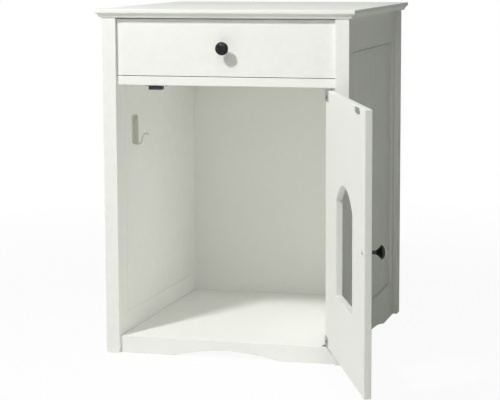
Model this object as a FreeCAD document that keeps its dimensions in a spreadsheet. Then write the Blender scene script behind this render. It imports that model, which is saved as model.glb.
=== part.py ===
import FreeCAD, Part
import math
import operator
import os
from types import SimpleNamespace

import Sketcher
from FreeCAD import Placement, Rotation, Vector

# Cat litter box cabinet: a small painted cupboard on four square posts, with one drawer above an
# open litter compartment. The compartment is closed by a flat door with an arched cat hole.
#
# Frame: the origin is on the ground under the middle of the top board, X to the right,
# Y to the back and Z up. Every place below is given with the door shut and the drawer home;
# the door's pieces are then turned about the hinge pins by door_open.

OUT_FOLDER = "parts"

# Two lengths closer than this, in millimetres, are the same.
NEAR = 1e-4

# Driving sizes in millimetres, angles in degrees.
SIZES = {
    # top board and carcass
    "top_width": 482.0,
    "top_depth": 520.0,
    "overall_height": 635.0,
    "top_thickness": 15.0,
    "lip_height": 8.0,
    "lip_round": 1.5,
    "cove_run": 7.0,
    "cove_radius": 14.0,
    "side_overhang": 12.0,
    "front_overhang": 9.0,
    "rear_overhang": 8.0,
    "post_width": 25.0,
    "post_depth": 25.0,
    "edge_round": 0.8,
    # side frames with their planked panels
    "side_recess": 8.0,
    "stile_width": 25.0,
    "side_top_rail_height": 62.0,
    "side_bottom_rail_height": 68.0,
    "side_scallop_width": 250.0,
    "scallop_height": 13.0,
    "panel_recess": 5.0,
    "panel_gap": 0.4,
    "tongue_thickness": 5.0,
    "tongue_depth": 6.0,
    "tongue_fit": 0.1,
    "plank_count": 8.0,
    "bead_width": 3.6,
    "bead_depth": 1.6,
    # what stands back from the front posts: rail, apron, drawer front and door
    "front_recess": 7.0,
    "drawer_opening_height": 106.0,
    "front_rail_thickness": 16.0,
    "front_rail_depth": 50.0,
    "divider_thickness": 12.0,
    "apron_thickness": 12.0,
    "floor_height": 31.0,
    "floor_thickness": 12.0,
    "front_scallop_width": 196.0,
    "top_strip_thickness": 1.5,
    "top_strip_depth": 30.0,
    "cleat_width": 15.0,
    "cleat_thickness": 12.0,
    "foot_size": 40.0,
    "block_size": 30.0,
    "block_thickness": 16.0,
    # back
    "back_panel_inset": 20.0,
    "back_panel_thickness": 4.0,
    "back_groove_depth": 4.5,
    "back_groove_fit": 0.1,
    "back_panel_bottom": 12.0,
    "back_rail_height": 50.0,
    # dowels
    "dowel_radius": 3.0,
    "dowel_fit": 0.05,
    "dowel_in_post": 12.0,
    "dowel_in_rail": 18.0,
    "dowel_end_gap": 0.5,
    "dowel_inset": 16.0,
    # drawer
    "drawer_gap": 2.0,
    "drawer_side_gap": 1.5,
    "drawer_front_thickness": 15.0,
    "drawer_rear_space": 61.0,
    "drawer_board": 12.0,
    "drawer_box_drop": 24.0,
    "drawer_bottom_thickness": 3.2,
    "drawer_bottom_lift": 8.0,
    "drawer_groove_depth": 5.0,
    "drawer_groove_fit": 0.1,
    "runner_base": 4.0,
    "runner_width": 20.0,
    "runner_wall": 6.0,
    "runner_height": 26.0,
    "runner_play": 0.3,
    "drawer_side_play": 1.0,
    "stop_depth": 15.0,
    "stop_height": 26.0,
    "stop_play": 0.3,
    # door
    "door_open": 111.5,
    "door_thickness": 12.0,
    "door_side_gap": 2.5,
    "door_top_gap": 5.0,
    "door_bottom_gap": 2.0,
    "arch_width": 169.0,
    "arch_lift": 112.0,
    "arch_side_height": 168.0,
    "arch_rise": 34.0,
    "door_knob_inset": 18.0,
    "door_knob_rise": 3.0,
    # pivot hinges
    "pivot_inset": 9.5,
    "pivot_setback": 6.0,
    "hinge_thickness": 1.5,
    "leaf_length": 30.0,
    "leaf_height": 18.0,
    "leaf_tongue_length": 18.0,
    "leaf_margin": 1.0,
    "leaf_corner": 3.0,
    "plate_length": 25.0,
    "plate_width": 11.0,
    "pin_radius": 2.0,
    "pin_fit": 0.05,
    "pin_reach": 10.0,
    "pin_bore_fit": 0.5,
    "washer_radius": 4.5,
    "washer_play": 0.3,
    # knobs
    "knob_base_radius": 5.5,
    "knob_base_height": 2.0,
    "knob_neck_radius": 3.2,
    "knob_neck_height": 8.0,
    "knob_head_radius": 12.0,
    "knob_rim_height": 20.0,
    "knob_height": 25.0,
    # magnetic catch and strike plate
    "catch_inset": 69.0,
    "catch_flange_width": 44.0,
    "catch_flange_thickness": 2.0,
    "catch_width": 27.0,
    "catch_depth": 15.0,
    "catch_height": 7.5,
    "catch_gap": 0.3,
    "magnet_width": 20.0,
    "magnet_height": 4.0,
    "magnet_depth": 4.0,
    "strike_width": 40.0,
    "strike_height": 10.0,
    "strike_margin": 1.0,
    "strike_thickness": 1.5,
    # scoop hook on the left wall
    "hook_setback": 103.0,
    "hook_drop": 63.5,
    "hook_plate_height": 57.0,
    "hook_plate_width": 34.0,
    "hook_plate_thickness": 2.0,
    "hook_top_corner": 4.0,
    "hook_bottom_corner": 9.0,
    "hook_wire_radius": 1.5,
    "hook_bend": 6.0,
    "hook_rise": 9.0,
    "hook_lip_bend": 6.5,
    "hook_lip_angle": 30.0,
    "hook_screw_drop": 7.0,
    # screws
    "screw_head_radius": 3.0,
    "screw_head_height": 1.6,
    "screw_radius": 1.5,
    "screw_length": 9.0,
    "screw_fit": 0.05,
    "countersink_depth": 1.2,
    "recess_length": 3.4,
    "recess_width": 0.7,
    "recess_depth": 0.6,
    "bolt_head_radius": 4.0,
    "bolt_head_height": 2.0,
    "bolt_radius": 2.0,
    "bolt_reach": 6.0,
    "block_screw_reach": 8.0,
}

DOC = FreeCAD.newDocument("LitterCabinet")
SHEET = DOC.addObject("Spreadsheet::Sheet", "Sizes")
SUBPARTS = []

OPERATORS = {"+": operator.add, "-": operator.sub, "*": operator.mul, "/": operator.truediv}


class Size:
    """A size as a formula over the sheet's cells, together with its present value."""

    def __init__(self, text, value):
        self.text = text
        self.value = value

    def __add__(self, other):
        return combine(self, "+", other)

    def __radd__(self, other):
        return combine(other, "+", self)

    def __sub__(self, other):
        return combine(self, "-", other)

    def __rsub__(self, other):
        return combine(other, "-", self)

    def __mul__(self, other):
        return combine(self, "*", other)

    def __rmul__(self, other):
        return combine(other, "*", self)

    def __truediv__(self, other):
        return combine(self, "/", other)

    def __neg__(self):
        return combine(0.0, "-", self)


def as_size(number):
    if isinstance(number, Size):
        return number
    return Size(repr(float(number)), float(number))


def combine(left, sign, right):
    left = as_size(left)
    right = as_size(right)
    value = OPERATORS[sign](left.value, right.value)
    return Size(f"({left.text} {sign} {right.text})", value)


def fill_sheet():
    """Writes each driving size to its own cell and gives back the sizes by name."""
    sizes = {}
    for row, (alias, number) in enumerate(SIZES.items(), start=1):
        SHEET.set(f"A{row}", alias)
        SHEET.set(f"B{row}", str(number))
        SHEET.setAlias(f"B{row}", alias)
        sizes[alias] = Size(f"Sizes.{alias}", number)
    DOC.recompute()
    return SimpleNamespace(**sizes)


S = fill_sheet()

# Levels and faces that several pieces share.
TOP_UNDERSIDE = S.overall_height - S.top_thickness
CASE_RIGHT = S.top_width / 2 - S.side_overhang
CASE_FRONT = S.front_overhang - S.top_depth / 2
CASE_BACK = S.top_depth / 2 - S.rear_overhang
INNER_RIGHT = CASE_RIGHT - S.post_width
FRAME_RIGHT = CASE_RIGHT - S.side_recess
FRAME_FRONT = CASE_FRONT + S.post_depth
FRAME_BACK = CASE_BACK - S.post_depth
PANEL_TOP = TOP_UNDERSIDE - S.side_top_rail_height
FACE_FRONT = CASE_FRONT + S.front_recess
BACK_PANEL_FRONT = CASE_BACK - S.back_panel_inset
BACK_PANEL_REAR = BACK_PANEL_FRONT + S.back_panel_thickness
RAIL_TOP = TOP_UNDERSIDE - S.drawer_opening_height
RAIL_BOTTOM = RAIL_TOP - S.front_rail_thickness
RAIL_REAR = FACE_FRONT + S.front_rail_depth
DIVIDER_BOTTOM = RAIL_TOP - S.divider_thickness
FLOOR_UNDERSIDE = S.floor_height - S.floor_thickness
APRON_REAR = FACE_FRONT + S.apron_thickness
DOWEL_X = (INNER_RIGHT + FRAME_RIGHT) / 2
BLOCK_BOTTOM = TOP_UNDERSIDE - S.block_thickness

DRAWER_FRONT_REAR = FACE_FRONT + S.drawer_front_thickness
DRAWER_REAR = BACK_PANEL_FRONT - S.drawer_rear_space
DRAWER_RIGHT = INNER_RIGHT - S.runner_wall - S.drawer_side_play
DRAWER_INSIDE = DRAWER_RIGHT - S.drawer_board
DRAWER_BASE = RAIL_TOP + S.runner_base + S.runner_play
DRAWER_BOTTOM = DRAWER_BASE + S.drawer_bottom_lift
DRAWER_FRONT_BASE = RAIL_TOP + S.drawer_gap
DRAWER_FRONT_TOP = TOP_UNDERSIDE - S.top_strip_thickness - S.drawer_gap
DRAWER_BOX_TOP = TOP_UNDERSIDE - S.drawer_box_drop
DRAWER_KNOB_Z = (DRAWER_FRONT_BASE + DRAWER_FRONT_TOP) / 2

DOOR_RIGHT = INNER_RIGHT - S.door_side_gap
DOOR_LEFT = -DOOR_RIGHT
DOOR_BOTTOM = S.floor_height + S.door_bottom_gap
DOOR_TOP = RAIL_BOTTOM - S.door_top_gap
DOOR_REAR = FACE_FRONT + S.door_thickness
PIVOT_X = DOOR_RIGHT - S.pivot_inset
PIVOT_Y = FACE_FRONT + S.pivot_setback
DOOR_KNOB_X = DOOR_LEFT + S.door_knob_inset
DOOR_KNOB_Z = (DOOR_BOTTOM + DOOR_TOP) / 2 + S.door_knob_rise
ARCH_BOTTOM = DOOR_BOTTOM + S.arch_lift
ARCH_SPRING = ARCH_BOTTOM + S.arch_side_height
CATCH_X = S.catch_inset - INNER_RIGHT
CATCH_FRONT = DOOR_REAR + S.strike_thickness + S.catch_gap
CATCH_TOP = RAIL_BOTTOM - S.catch_flange_thickness
CATCH_MIDDLE_Y = CATCH_FRONT + S.catch_depth / 2
HOOK_Y = CASE_FRONT + S.hook_setback
HOOK_TOP = RAIL_BOTTOM - S.hook_drop
HOOK_BOTTOM = HOOK_TOP - S.hook_plate_height
HOOK_SCREW_Z = HOOK_TOP - S.hook_screw_drop

ORIGIN = (as_size(0.0), as_size(0.0), as_size(0.0))
AT_PIVOT = (PIVOT_X, PIVOT_Y, as_size(0.0))

# For each origin plane: the axes along the sheet's own u and v, the axis across it, and whether
# the sheet's normal points along that axis or against it.
PLANES = {
    "XY_Plane": ("x", "y", "z", 1),
    "XZ_Plane": ("x", "z", "y", -1),
    "YZ_Plane": ("y", "z", "x", 1),
}

SIDES = (("left", -1), ("right", 1))


def put(thing, at, turn=None):
    """Places a thing at a point, turned about Z where a turn is given."""
    if turn is not None:
        thing.Placement = Placement(Vector(), Rotation(Vector(0, 0, 1), turn.value))
        thing.setExpression("Placement.Rotation.Angle", turn.text)
    for axis, size in zip("xyz", at):
        thing.setExpression(f"Placement.Base.{axis}", size.text)


class Drawing:
    """A sketch of a piece, drawn in the cabinet's own coordinates."""

    def __init__(self, piece, name, plane, level):
        u_axis, v_axis, across, sense = PLANES[plane]
        self.u_zero = piece.at[u_axis]
        self.v_zero = piece.at[v_axis]
        body = piece.body
        self.sketch = body.newObject("Sketcher::SketchObject", f"{piece.name}_{name}")
        support = next(f for f in body.Origin.OriginFeatures if f.Role == plane)
        self.sketch.AttachmentSupport = [(support, "")]
        self.sketch.MapMode = "FlatFace"
        height = sense * (as_size(level) - piece.at[across])
        self.sketch.setExpression("AttachmentOffset.Base.z", height.text)
        self.sense = sense

    def local(self, u, v):
        return Vector((u - self.u_zero).value, (v - self.v_zero).value, 0)

    def fix(self, curve, point, u, v):
        for kind, size in (("DistanceX", u - self.u_zero), ("DistanceY", v - self.v_zero)):
            rule = Sketcher.Constraint(kind, -1, 1, curve, point, size.value)
            self.bind(self.sketch.addConstraint(rule), size)

    def bind(self, index, size):
        self.sketch.setExpression(f"Constraints[{index}]", size.text)

    def line(self, start, end):
        """Adds a line and says which of its points are its start and its end."""
        curve = self.sketch.addGeometry(Part.LineSegment(self.local(*start), self.local(*end)))
        return curve, 1, 2

    def arc(self, start, end, radius):
        """Adds an arc; a positive radius turns left on the way from start to end."""
        first = self.local(*start)
        last = self.local(*end)
        chord = last - first
        reach = abs(radius.value)
        side = math.copysign(1.0, radius.value)
        rise = math.sqrt(max(reach**2 - (chord.Length / 2) ** 2, 0.0))
        across = Vector(-chord.y, chord.x, 0).normalize() * (side * rise)
        centre = (first + last) * 0.5 + across
        begin, finish = (first, last) if side > 0 else (last, first)
        angles = [math.atan2(p.y - centre.y, p.x - centre.x) for p in (begin, finish)]
        circle = Part.Circle(centre, Vector(0, 0, 1), reach)
        curve = self.sketch.addGeometry(Part.ArcOfCircle(circle, *angles))
        rule = Sketcher.Constraint("Radius", curve, reach)
        self.bind(self.sketch.addConstraint(rule), side * radius)
        return (curve, 1, 2) if side > 0 else (curve, 2, 1)

    def outline(self, points, closed=True):
        """Draws straight edges between points; a point's third value is its edge's radius."""
        ends = points[1:] + points[:1] if closed else points[1:]
        edges = []
        for point, after in zip(points, ends):
            if len(point) == 3:
                edges.append(self.arc(point[:2], after[:2], point[2]))
            else:
                edges.append(self.line(point, after[:2]))
        for (curve, start, _), point in zip(edges, points):
            self.fix(curve, start, point[0], point[1])
        if not closed:
            self.fix(edges[-1][0], edges[-1][2], *points[-1][:2])
        followers = edges[1:] + edges[:1] if closed else edges[1:]
        for (curve, _, end), (other, start, _) in zip(edges, followers):
            self.sketch.addConstraint(Sketcher.Constraint("Coincident", curve, end, other, start))
        return self

    def rectangle(self, low, high):
        return self.outline([low, (high[0], low[1]), high, (low[0], high[1])])

    def circle(self, u, v, radius):
        shape = Part.Circle(self.local(u, v), Vector(0, 0, 1), radius.value)
        curve = self.sketch.addGeometry(shape)
        self.fix(curve, 3, u, v)
        rule = Sketcher.Constraint("Radius", curve, radius.value)
        self.bind(self.sketch.addConstraint(rule), radius)
        return self


class Piece:
    """One solid sub-part: a body whose features are drawn in the cabinet's coordinates."""

    def __init__(self, name, at=ORIGIN, turn=None):
        self.name = name
        self.at = dict(zip("xyz", at))
        self.body = DOC.addObject("PartDesign::Body", name)
        self.body.Label = name
        put(self.body, at, turn)
        SUBPARTS.append(self.body)

    def draw(self, name, plane, level):
        return Drawing(self, name, plane, level)

    def feature(self, kind, drawing, length, reverse):
        feature = self.body.newObject(f"PartDesign::{kind}", f"{drawing.sketch.Name}_{kind}")
        feature.Profile = drawing.sketch
        feature.setExpression("Length", length.text)
        feature.Reversed = reverse
        drawing.sketch.Visibility = False
        return feature

    def pad(self, drawing, length, toward=1):
        """Adds material from the drawing, along its axis or, with toward -1, against it."""
        return self.feature("Pad", drawing, length, toward != drawing.sense)

    def cut(self, drawing, length, toward=1):
        """Takes material away from the drawing on, along its axis or against it."""
        DOC.recompute()
        before = self.body.Shape.Volume
        feature = self.feature("Pocket", drawing, length, toward == drawing.sense)
        DOC.recompute()
        if self.body.Shape.Volume >= before:
            raise ValueError(f"{feature.Name} takes nothing away")
        return feature

    def bore(self, name, plane, level, centre, radius, depth, toward=1):
        drawing = self.draw(name, plane, level).circle(*centre, radius)
        return self.cut(drawing, depth, toward)

    def round_edges(self, radius, edges=None):
        """Rounds the named edges of the last feature, or all of them."""
        DOC.recompute()
        base = self.body.Tip
        fillet = self.body.newObject("PartDesign::Fillet", f"{base.Name}_Fillet")
        fillet.Base = (base, edges or ["Edge1"])
        fillet.UseAllEdges = edges is None
        fillet.setExpression("Radius", radius.text)
        return fillet

    def bevel_rims(self, axis, level, radius, size):
        """Countersinks every round hole of one radius whose rim lies at a level along an axis."""
        DOC.recompute()
        base = self.body.Tip
        height = (level - self.at[axis]).value
        names = []
        for index, edge in enumerate(base.Shape.Edges, start=1):
            if not isinstance(edge.Curve, Part.Circle) or not edge.isClosed():
                continue
            apart = abs(getattr(edge.Curve.Center, axis) - height)
            if apart < NEAR and abs(edge.Curve.Radius - radius.value) < NEAR:
                names.append(f"Edge{index}")
        chamfer = self.body.newObject("PartDesign::Chamfer", f"{self.name}_countersinks")
        chamfer.Base = (base, names)
        chamfer.setExpression("Size", size.text)

    def upright_edges(self, axis, wanted):
        """Names the straight edges along an axis whose middle passes the wanted test."""
        DOC.recompute()
        names = []
        for index, edge in enumerate(self.body.Tip.Shape.Edges, start=1):
            box = edge.BoundBox
            spans = {"x": box.XLength, "y": box.YLength, "z": box.ZLength}
            across = sum(spans.values()) - spans[axis]
            if across < NEAR and wanted(edge.CenterOfMass):
                names.append(f"Edge{index}")
        return names


def board(name, x_span, y_span, z_span, rounded=True):
    """A plain board, usually with eased edges, between two x, two y and two z values."""
    piece = Piece(name, (x_span[0], y_span[0], z_span[0]))
    drawing = piece.draw("outline", "XY_Plane", z_span[0])
    drawing.rectangle((x_span[0], y_span[0]), (x_span[1], y_span[1]))
    piece.pad(drawing, z_span[1] - z_span[0])
    if rounded:
        piece.round_edges(S.edge_round)
    return piece


def mirrored(side, low, high):
    """The x span on one side of the cabinet, in rising order."""
    return (low, high) if side > 0 else (-high, -low)


# ---- fasteners and other round things, from solids of revolution -------------------------------

TURNS = {
    "+X": Rotation(Vector(0, 1, 0), 90),
    "-X": Rotation(Vector(0, 1, 0), -90),
    "+Y": Rotation(Vector(1, 0, 0), -90),
    "-Y": Rotation(Vector(1, 0, 0), 90),
    "+Z": Rotation(),
    "-Z": Rotation(Vector(1, 0, 0), 180),
}

STEPS = {"X": (1, 0, 0), "Y": (0, 1, 0), "Z": (0, 0, 1)}


def along(at, direction, distance):
    """The point at a distance from another along a direction such as -Y."""
    sign = 1 if direction[0] == "+" else -1
    return tuple(size + sign * step * distance for size, step in zip(at, STEPS[direction[1]]))


def solid(kind, name, at, direction, **sizes):
    """A primitive whose own Z axis is turned to the direction."""
    thing = DOC.addObject(f"Part::{kind}", name)
    thing.Placement = Placement(Vector(), TURNS[direction])
    put(thing, at)
    for prop, size in sizes.items():
        thing.setExpression(prop, size.text)
    return thing


def joined(name, shapes):
    whole = DOC.addObject("Part::MultiFuse", name)
    whole.Shapes = shapes
    return whole


def without(name, base, tool):
    rest = DOC.addObject("Part::Cut", name)
    rest.Base = base
    rest.Tool = tool
    return rest


def slot(name, at, direction, length, width, depth):
    """A bar across a screw head, centred on the screw's axis."""
    bar = DOC.addObject("Part::Box", name)
    bar.Placement = Placement(Vector(), TURNS[direction])
    bar.setExpression("Length", length.text)
    bar.setExpression("Width", width.text)
    bar.setExpression("Height", depth.text)
    ahead = TURNS[direction].multVec(Vector(1, 0, 0))
    aside = TURNS[direction].multVec(Vector(0, 1, 0))
    shift = [round(a) * length / 2 + round(b) * width / 2 for a, b in zip(ahead, aside)]
    put(bar, tuple(size - move for size, move in zip(at, shift)))
    return bar


def screw(name, at, direction, head_radius, head_height, radius, length):
    """A round-headed cross-recess screw whose head lies on the point, driven along direction."""
    back = {"+": "-", "-": "+"}[direction[0]] + direction[1]
    head = solid("Cone", f"{name}_head", at, back, Radius1=head_radius,
                 Radius2=head_radius * 0.62, Height=head_height)
    shank = solid("Cylinder", f"{name}_shank", at, direction, Radius=radius, Height=length)
    face = along(at, back, head_height - S.recess_depth)
    bars = [
        slot(f"{name}_slot", face, back, S.recess_length, S.recess_width, S.recess_depth * 2),
        slot(f"{name}_cross", face, back, S.recess_width, S.recess_length, S.recess_depth * 2),
    ]
    blank = joined(f"{name}_blank", [head, shank])
    return without(f"{name}_whole", blank, joined(f"{name}_recess", bars))


def small_screw(name, at, direction, length=None):
    return screw(name, at, direction, S.screw_head_radius, S.screw_head_height,
                 S.screw_radius, length or S.screw_length)


def group(name, things, at=ORIGIN, turn=None):
    """Several loose solids that are one kind of part, kept together as one sub-part."""
    whole = DOC.addObject("Part::Compound", name)
    whole.Label = name
    whole.Links = things
    put(whole, at, turn)
    SUBPARTS.append(whole)
    return whole


def from_pivot(x, y, z):
    """A point of the shut door, measured from the hinge pins' axis."""
    return (x - PIVOT_X, y - PIVOT_Y, as_size(z))


# ---- top board --------------------------------------------------------------------------------


def top_board():
    """One board whose front and side edges are a plain lip over a hollow cove."""
    half_width = S.top_width / 2
    half_depth = S.top_depth / 2
    x_span = (-half_width, half_width)
    y_span = (-half_depth, half_depth)
    piece = board("top_board", x_span, y_span, (TOP_UNDERSIDE, S.overall_height), rounded=False)
    piece.round_edges(S.lip_round)
    lip_bottom = S.overall_height - S.lip_height
    beyond = S.cove_run
    low = TOP_UNDERSIDE - beyond
    front = piece.draw("front_cove", "YZ_Plane", -half_width)
    front.outline([
        (-half_depth, lip_bottom, -S.cove_radius),
        (-half_depth + S.cove_run, TOP_UNDERSIDE),
        (-half_depth + S.cove_run, low),
        (-half_depth - beyond, low),
        (-half_depth - beyond, lip_bottom),
    ])
    piece.cut(front, S.top_width, 1)
    for name, side in SIDES:
        edge = piece.draw(f"{name}_cove", "XZ_Plane", -half_depth)
        edge.outline([
            (side * half_width, lip_bottom, side * S.cove_radius),
            (side * (half_width - S.cove_run), TOP_UNDERSIDE),
            (side * (half_width - S.cove_run), low),
            (side * (half_width + beyond), low),
            (side * (half_width + beyond), lip_bottom),
        ])
        piece.cut(edge, S.top_depth, 1)
    for number, (x, y) in enumerate(block_screw_points()):
        piece.bore(f"screw_hole_{number}", "XY_Plane", TOP_UNDERSIDE, (x, y),
                   S.screw_radius + S.screw_fit, S.block_screw_reach + S.dowel_end_gap, 1)


# ---- posts and side frames --------------------------------------------------------------------


def rail_dowel_heights():
    """Heights of the dowels that join the side rails to the posts."""
    top = (TOP_UNDERSIDE - S.dowel_inset, PANEL_TOP + S.dowel_inset)
    bottom = (S.side_bottom_rail_height - S.dowel_inset, S.scallop_height + S.dowel_radius * 2)
    return top + bottom


def front_dowel_places():
    """Places, as y and z, of the dowels between the front posts and the rail and apron."""
    rail = (FRAME_FRONT - S.dowel_radius * 2, RAIL_BOTTOM + S.front_rail_thickness / 2)
    apron = (FACE_FRONT + S.apron_thickness / 2, S.dowel_radius * 3)
    return (rail, apron)


def back_dowel_places():
    """Places, as y and z, of the dowels between the rear posts and the back rails."""
    y = (BACK_PANEL_REAR + CASE_BACK) / 2
    inset = S.back_rail_height / 2
    return ((y, TOP_UNDERSIDE - inset), (y, inset))


def front_post(name, side):
    x_span = mirrored(side, INNER_RIGHT, CASE_RIGHT)
    piece = board(f"front_post_{name}", x_span, (CASE_FRONT, FRAME_FRONT),
                  (as_size(0.0), TOP_UNDERSIDE))
    radius = S.dowel_radius + S.dowel_fit
    for number, z in enumerate(rail_dowel_heights()):
        piece.bore(f"side_dowel_{number}", "XZ_Plane", FRAME_FRONT, (side * DOWEL_X, z),
                   radius, S.dowel_in_post, -1)
    for number, place in enumerate(front_dowel_places()):
        piece.bore(f"front_dowel_{number}", "YZ_Plane", side * INNER_RIGHT, place,
                   radius, S.dowel_in_post, side)


def rear_post(name, side):
    x_span = mirrored(side, INNER_RIGHT, CASE_RIGHT)
    piece = board(f"rear_post_{name}", x_span, (FRAME_BACK, CASE_BACK),
                  (as_size(0.0), TOP_UNDERSIDE))
    groove = piece.draw("panel_groove", "YZ_Plane", side * INNER_RIGHT)
    groove.rectangle((BACK_PANEL_FRONT - S.back_groove_fit, S.back_panel_bottom - S.panel_gap),
                     (BACK_PANEL_REAR + S.back_groove_fit, TOP_UNDERSIDE + S.post_width))
    piece.cut(groove, S.back_groove_depth, side)
    radius = S.dowel_radius + S.dowel_fit
    for number, z in enumerate(rail_dowel_heights()):
        piece.bore(f"side_dowel_{number}", "XZ_Plane", FRAME_BACK, (side * DOWEL_X, z),
                   radius, S.dowel_in_post, 1)
    for number, place in enumerate(back_dowel_places()):
        piece.bore(f"back_dowel_{number}", "YZ_Plane", side * INNER_RIGHT, place,
                   radius, S.dowel_in_post, side)


def tongue_groove(piece, name, side, level, span, toward):
    """A groove for the panel's tongue along a rail's lower or upper edge."""
    low, high = mirrored(side, *tongue_span(S.tongue_fit))
    groove = piece.draw(name, "XY_Plane", level)
    groove.rectangle((low, span[0]), (high, span[1]))
    piece.cut(groove, S.tongue_depth + S.panel_gap, toward)


def tongue_span(fit=0.0):
    """The x span of the panel's tongue on the right side, with room round it."""
    middle = (INNER_RIGHT + FRAME_RIGHT - S.panel_recess) / 2
    half = S.tongue_thickness / 2
    return (middle - half - fit, middle + half + fit)


def end_dowel_holes(piece, side, heights):
    """Holes in both ends of a side rail."""
    radius = S.dowel_radius + S.dowel_fit
    for number, z in enumerate(heights):
        centre = (side * DOWEL_X, z)
        piece.bore(f"front_hole_{number}", "XZ_Plane", FRAME_FRONT, centre,
                   radius, S.dowel_in_rail, 1)
        piece.bore(f"rear_hole_{number}", "XZ_Plane", FRAME_BACK, centre,
                   radius, S.dowel_in_rail, -1)


def side_top_rail(name, side):
    x_span = mirrored(side, INNER_RIGHT, FRAME_RIGHT)
    piece = board(f"side_top_rail_{name}", x_span, (FRAME_FRONT, FRAME_BACK),
                  (PANEL_TOP, TOP_UNDERSIDE))
    tongue_groove(piece, "groove", side, PANEL_TOP, panel_grooved_span(), 1)
    end_dowel_holes(piece, side, rail_dowel_heights()[:2])


def side_bottom_rail(name, side):
    """The lower rail, whose underside is cut to a long shallow curve."""
    x_span = mirrored(side, INNER_RIGHT, FRAME_RIGHT)
    piece = board(f"side_bottom_rail_{name}", x_span, (FRAME_FRONT, FRAME_BACK),
                  (as_size(0.0), S.side_bottom_rail_height))
    middle = (FRAME_FRONT + FRAME_BACK) / 2
    curve = piece.draw("scallop", "YZ_Plane", x_span[0])
    curve.outline(scallop(middle, S.side_scallop_width))
    piece.cut(curve, x_span[1] - x_span[0], 1)
    tongue_groove(piece, "groove", side, S.side_bottom_rail_height, panel_grooved_span(), -1)
    end_dowel_holes(piece, side, rail_dowel_heights()[2:])


def scallop(middle, width):
    """A shallow arc over the ground, as a closed outline that reaches below it."""
    half = width / 2
    radius = (half * half + S.scallop_height * S.scallop_height) / (S.scallop_height * 2)
    low = -S.scallop_height
    return [
        (middle + half, as_size(0.0), radius),
        (middle - half, as_size(0.0)),
        (middle - half, low),
        (middle + half, low),
    ]


def panel_opening():
    """The y span between the stiles."""
    return (FRAME_FRONT + S.stile_width, FRAME_BACK - S.stile_width)


def panel_grooved_span():
    low, high = panel_opening()
    reach = S.tongue_depth + S.panel_gap
    return (low - reach, high + reach)


def side_stile(name, side, end):
    """An upright of the side frame; its groove faces the panel."""
    opening = panel_opening()
    if end == "front":
        y_span, edge, toward = (FRAME_FRONT, opening[0]), opening[0], -1
    else:
        y_span, edge, toward = (opening[1], FRAME_BACK), opening[1], 1
    x_span = mirrored(side, INNER_RIGHT, FRAME_RIGHT)
    piece = board(f"side_{end}_stile_{name}", x_span, y_span,
                  (S.side_bottom_rail_height, PANEL_TOP))
    low, high = mirrored(side, *tongue_span(S.tongue_fit))
    groove = piece.draw("groove", "XZ_Plane", edge)
    groove.rectangle((low, S.side_bottom_rail_height - S.stile_width),
                     (high, PANEL_TOP + S.stile_width))
    piece.cut(groove, S.tongue_depth + S.panel_gap, toward)


def side_panel(name, side):
    """A tongued panel whose outer face is scored to look like upright planks."""
    front, rear = panel_opening()
    gap = S.panel_gap
    y_span = (front + gap, rear - gap)
    z_span = (S.side_bottom_rail_height + gap, PANEL_TOP - gap)
    outer = FRAME_RIGHT - S.panel_recess
    x_span = mirrored(side, INNER_RIGHT, outer)
    piece = board(f"side_panel_{name}", x_span, y_span, z_span, rounded=False)
    reach = S.tongue_depth
    low, high = mirrored(side, *tongue_span())
    tongue = piece.draw("tongue", "YZ_Plane", low)
    tongue.rectangle((front - reach, S.side_bottom_rail_height - reach),
                     (rear + reach, PANEL_TOP + reach))
    piece.pad(tongue, high - low)
    pitch = (rear - front) / S.plank_count
    bead = piece.draw("bead", "XY_Plane", z_span[0] - reach)
    half = S.bead_width / 2
    bead.outline([
        (side * outer, front + pitch - half),
        (side * (outer - S.bead_depth), front + pitch),
        (side * outer, front + pitch + half),
    ])
    groove = piece.cut(bead, z_span[1] - z_span[0] + reach * 2, 1)
    repeat_planks(piece, groove, pitch)
    if name == "left":
        piece.bore("hook_screw_hole", "YZ_Plane", -INNER_RIGHT, (HOOK_Y, HOOK_SCREW_Z),
                   S.screw_radius + S.screw_fit, S.screw_length + S.dowel_end_gap, -1)


def repeat_planks(piece, groove, pitch):
    """Repeats the first score line at every plank joint."""
    pattern = piece.body.newObject("PartDesign::LinearPattern", f"{piece.name}_planks")
    pattern.Originals = [groove]
    axis = next(f for f in piece.body.Origin.OriginFeatures if f.Role == "Y_Axis")
    pattern.Direction = (axis, [""])
    pattern.Mode = "Spacing"
    pattern.setExpression("Offset", pitch.text)
    pattern.setExpression("Occurrences", (S.plank_count - 1).text)
    piece.body.Tip = pattern
    DOC.recompute()


# ---- back, floor and front of the carcass -------------------------------------------------------


def back_panel():
    reach = S.back_groove_depth - S.panel_gap
    x_span = (-INNER_RIGHT - reach, INNER_RIGHT + reach)
    board("back_panel", x_span, (BACK_PANEL_FRONT, BACK_PANEL_REAR),
          (S.back_panel_bottom, TOP_UNDERSIDE), rounded=False)


def back_rail(name, z_span, place):
    """A rail between the rear posts, behind the back panel."""
    piece = board(f"back_{name}_rail", (-INNER_RIGHT, INNER_RIGHT),
                  (BACK_PANEL_REAR, CASE_BACK), z_span)
    cross_holes(piece, place)


def cross_holes(piece, place):
    """Dowel holes in the two ends of a board that runs from post to post."""
    for name, side in SIDES:
        piece.bore(f"{name}_hole", "YZ_Plane", side * INNER_RIGHT, place,
                   S.dowel_radius + S.dowel_fit, S.dowel_in_rail, -side)


def floor_panel():
    board("floor_panel", (-INNER_RIGHT, INNER_RIGHT), (APRON_REAR, BACK_PANEL_FRONT),
          (FLOOR_UNDERSIDE, S.floor_height), rounded=False)


def floor_foot():
    """A block under the middle of the floor panel that stands on the ground."""
    half = S.foot_size / 2
    board("floor_centre_foot", (-half, half), (-half, half), (as_size(0.0), FLOOR_UNDERSIDE))


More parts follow.
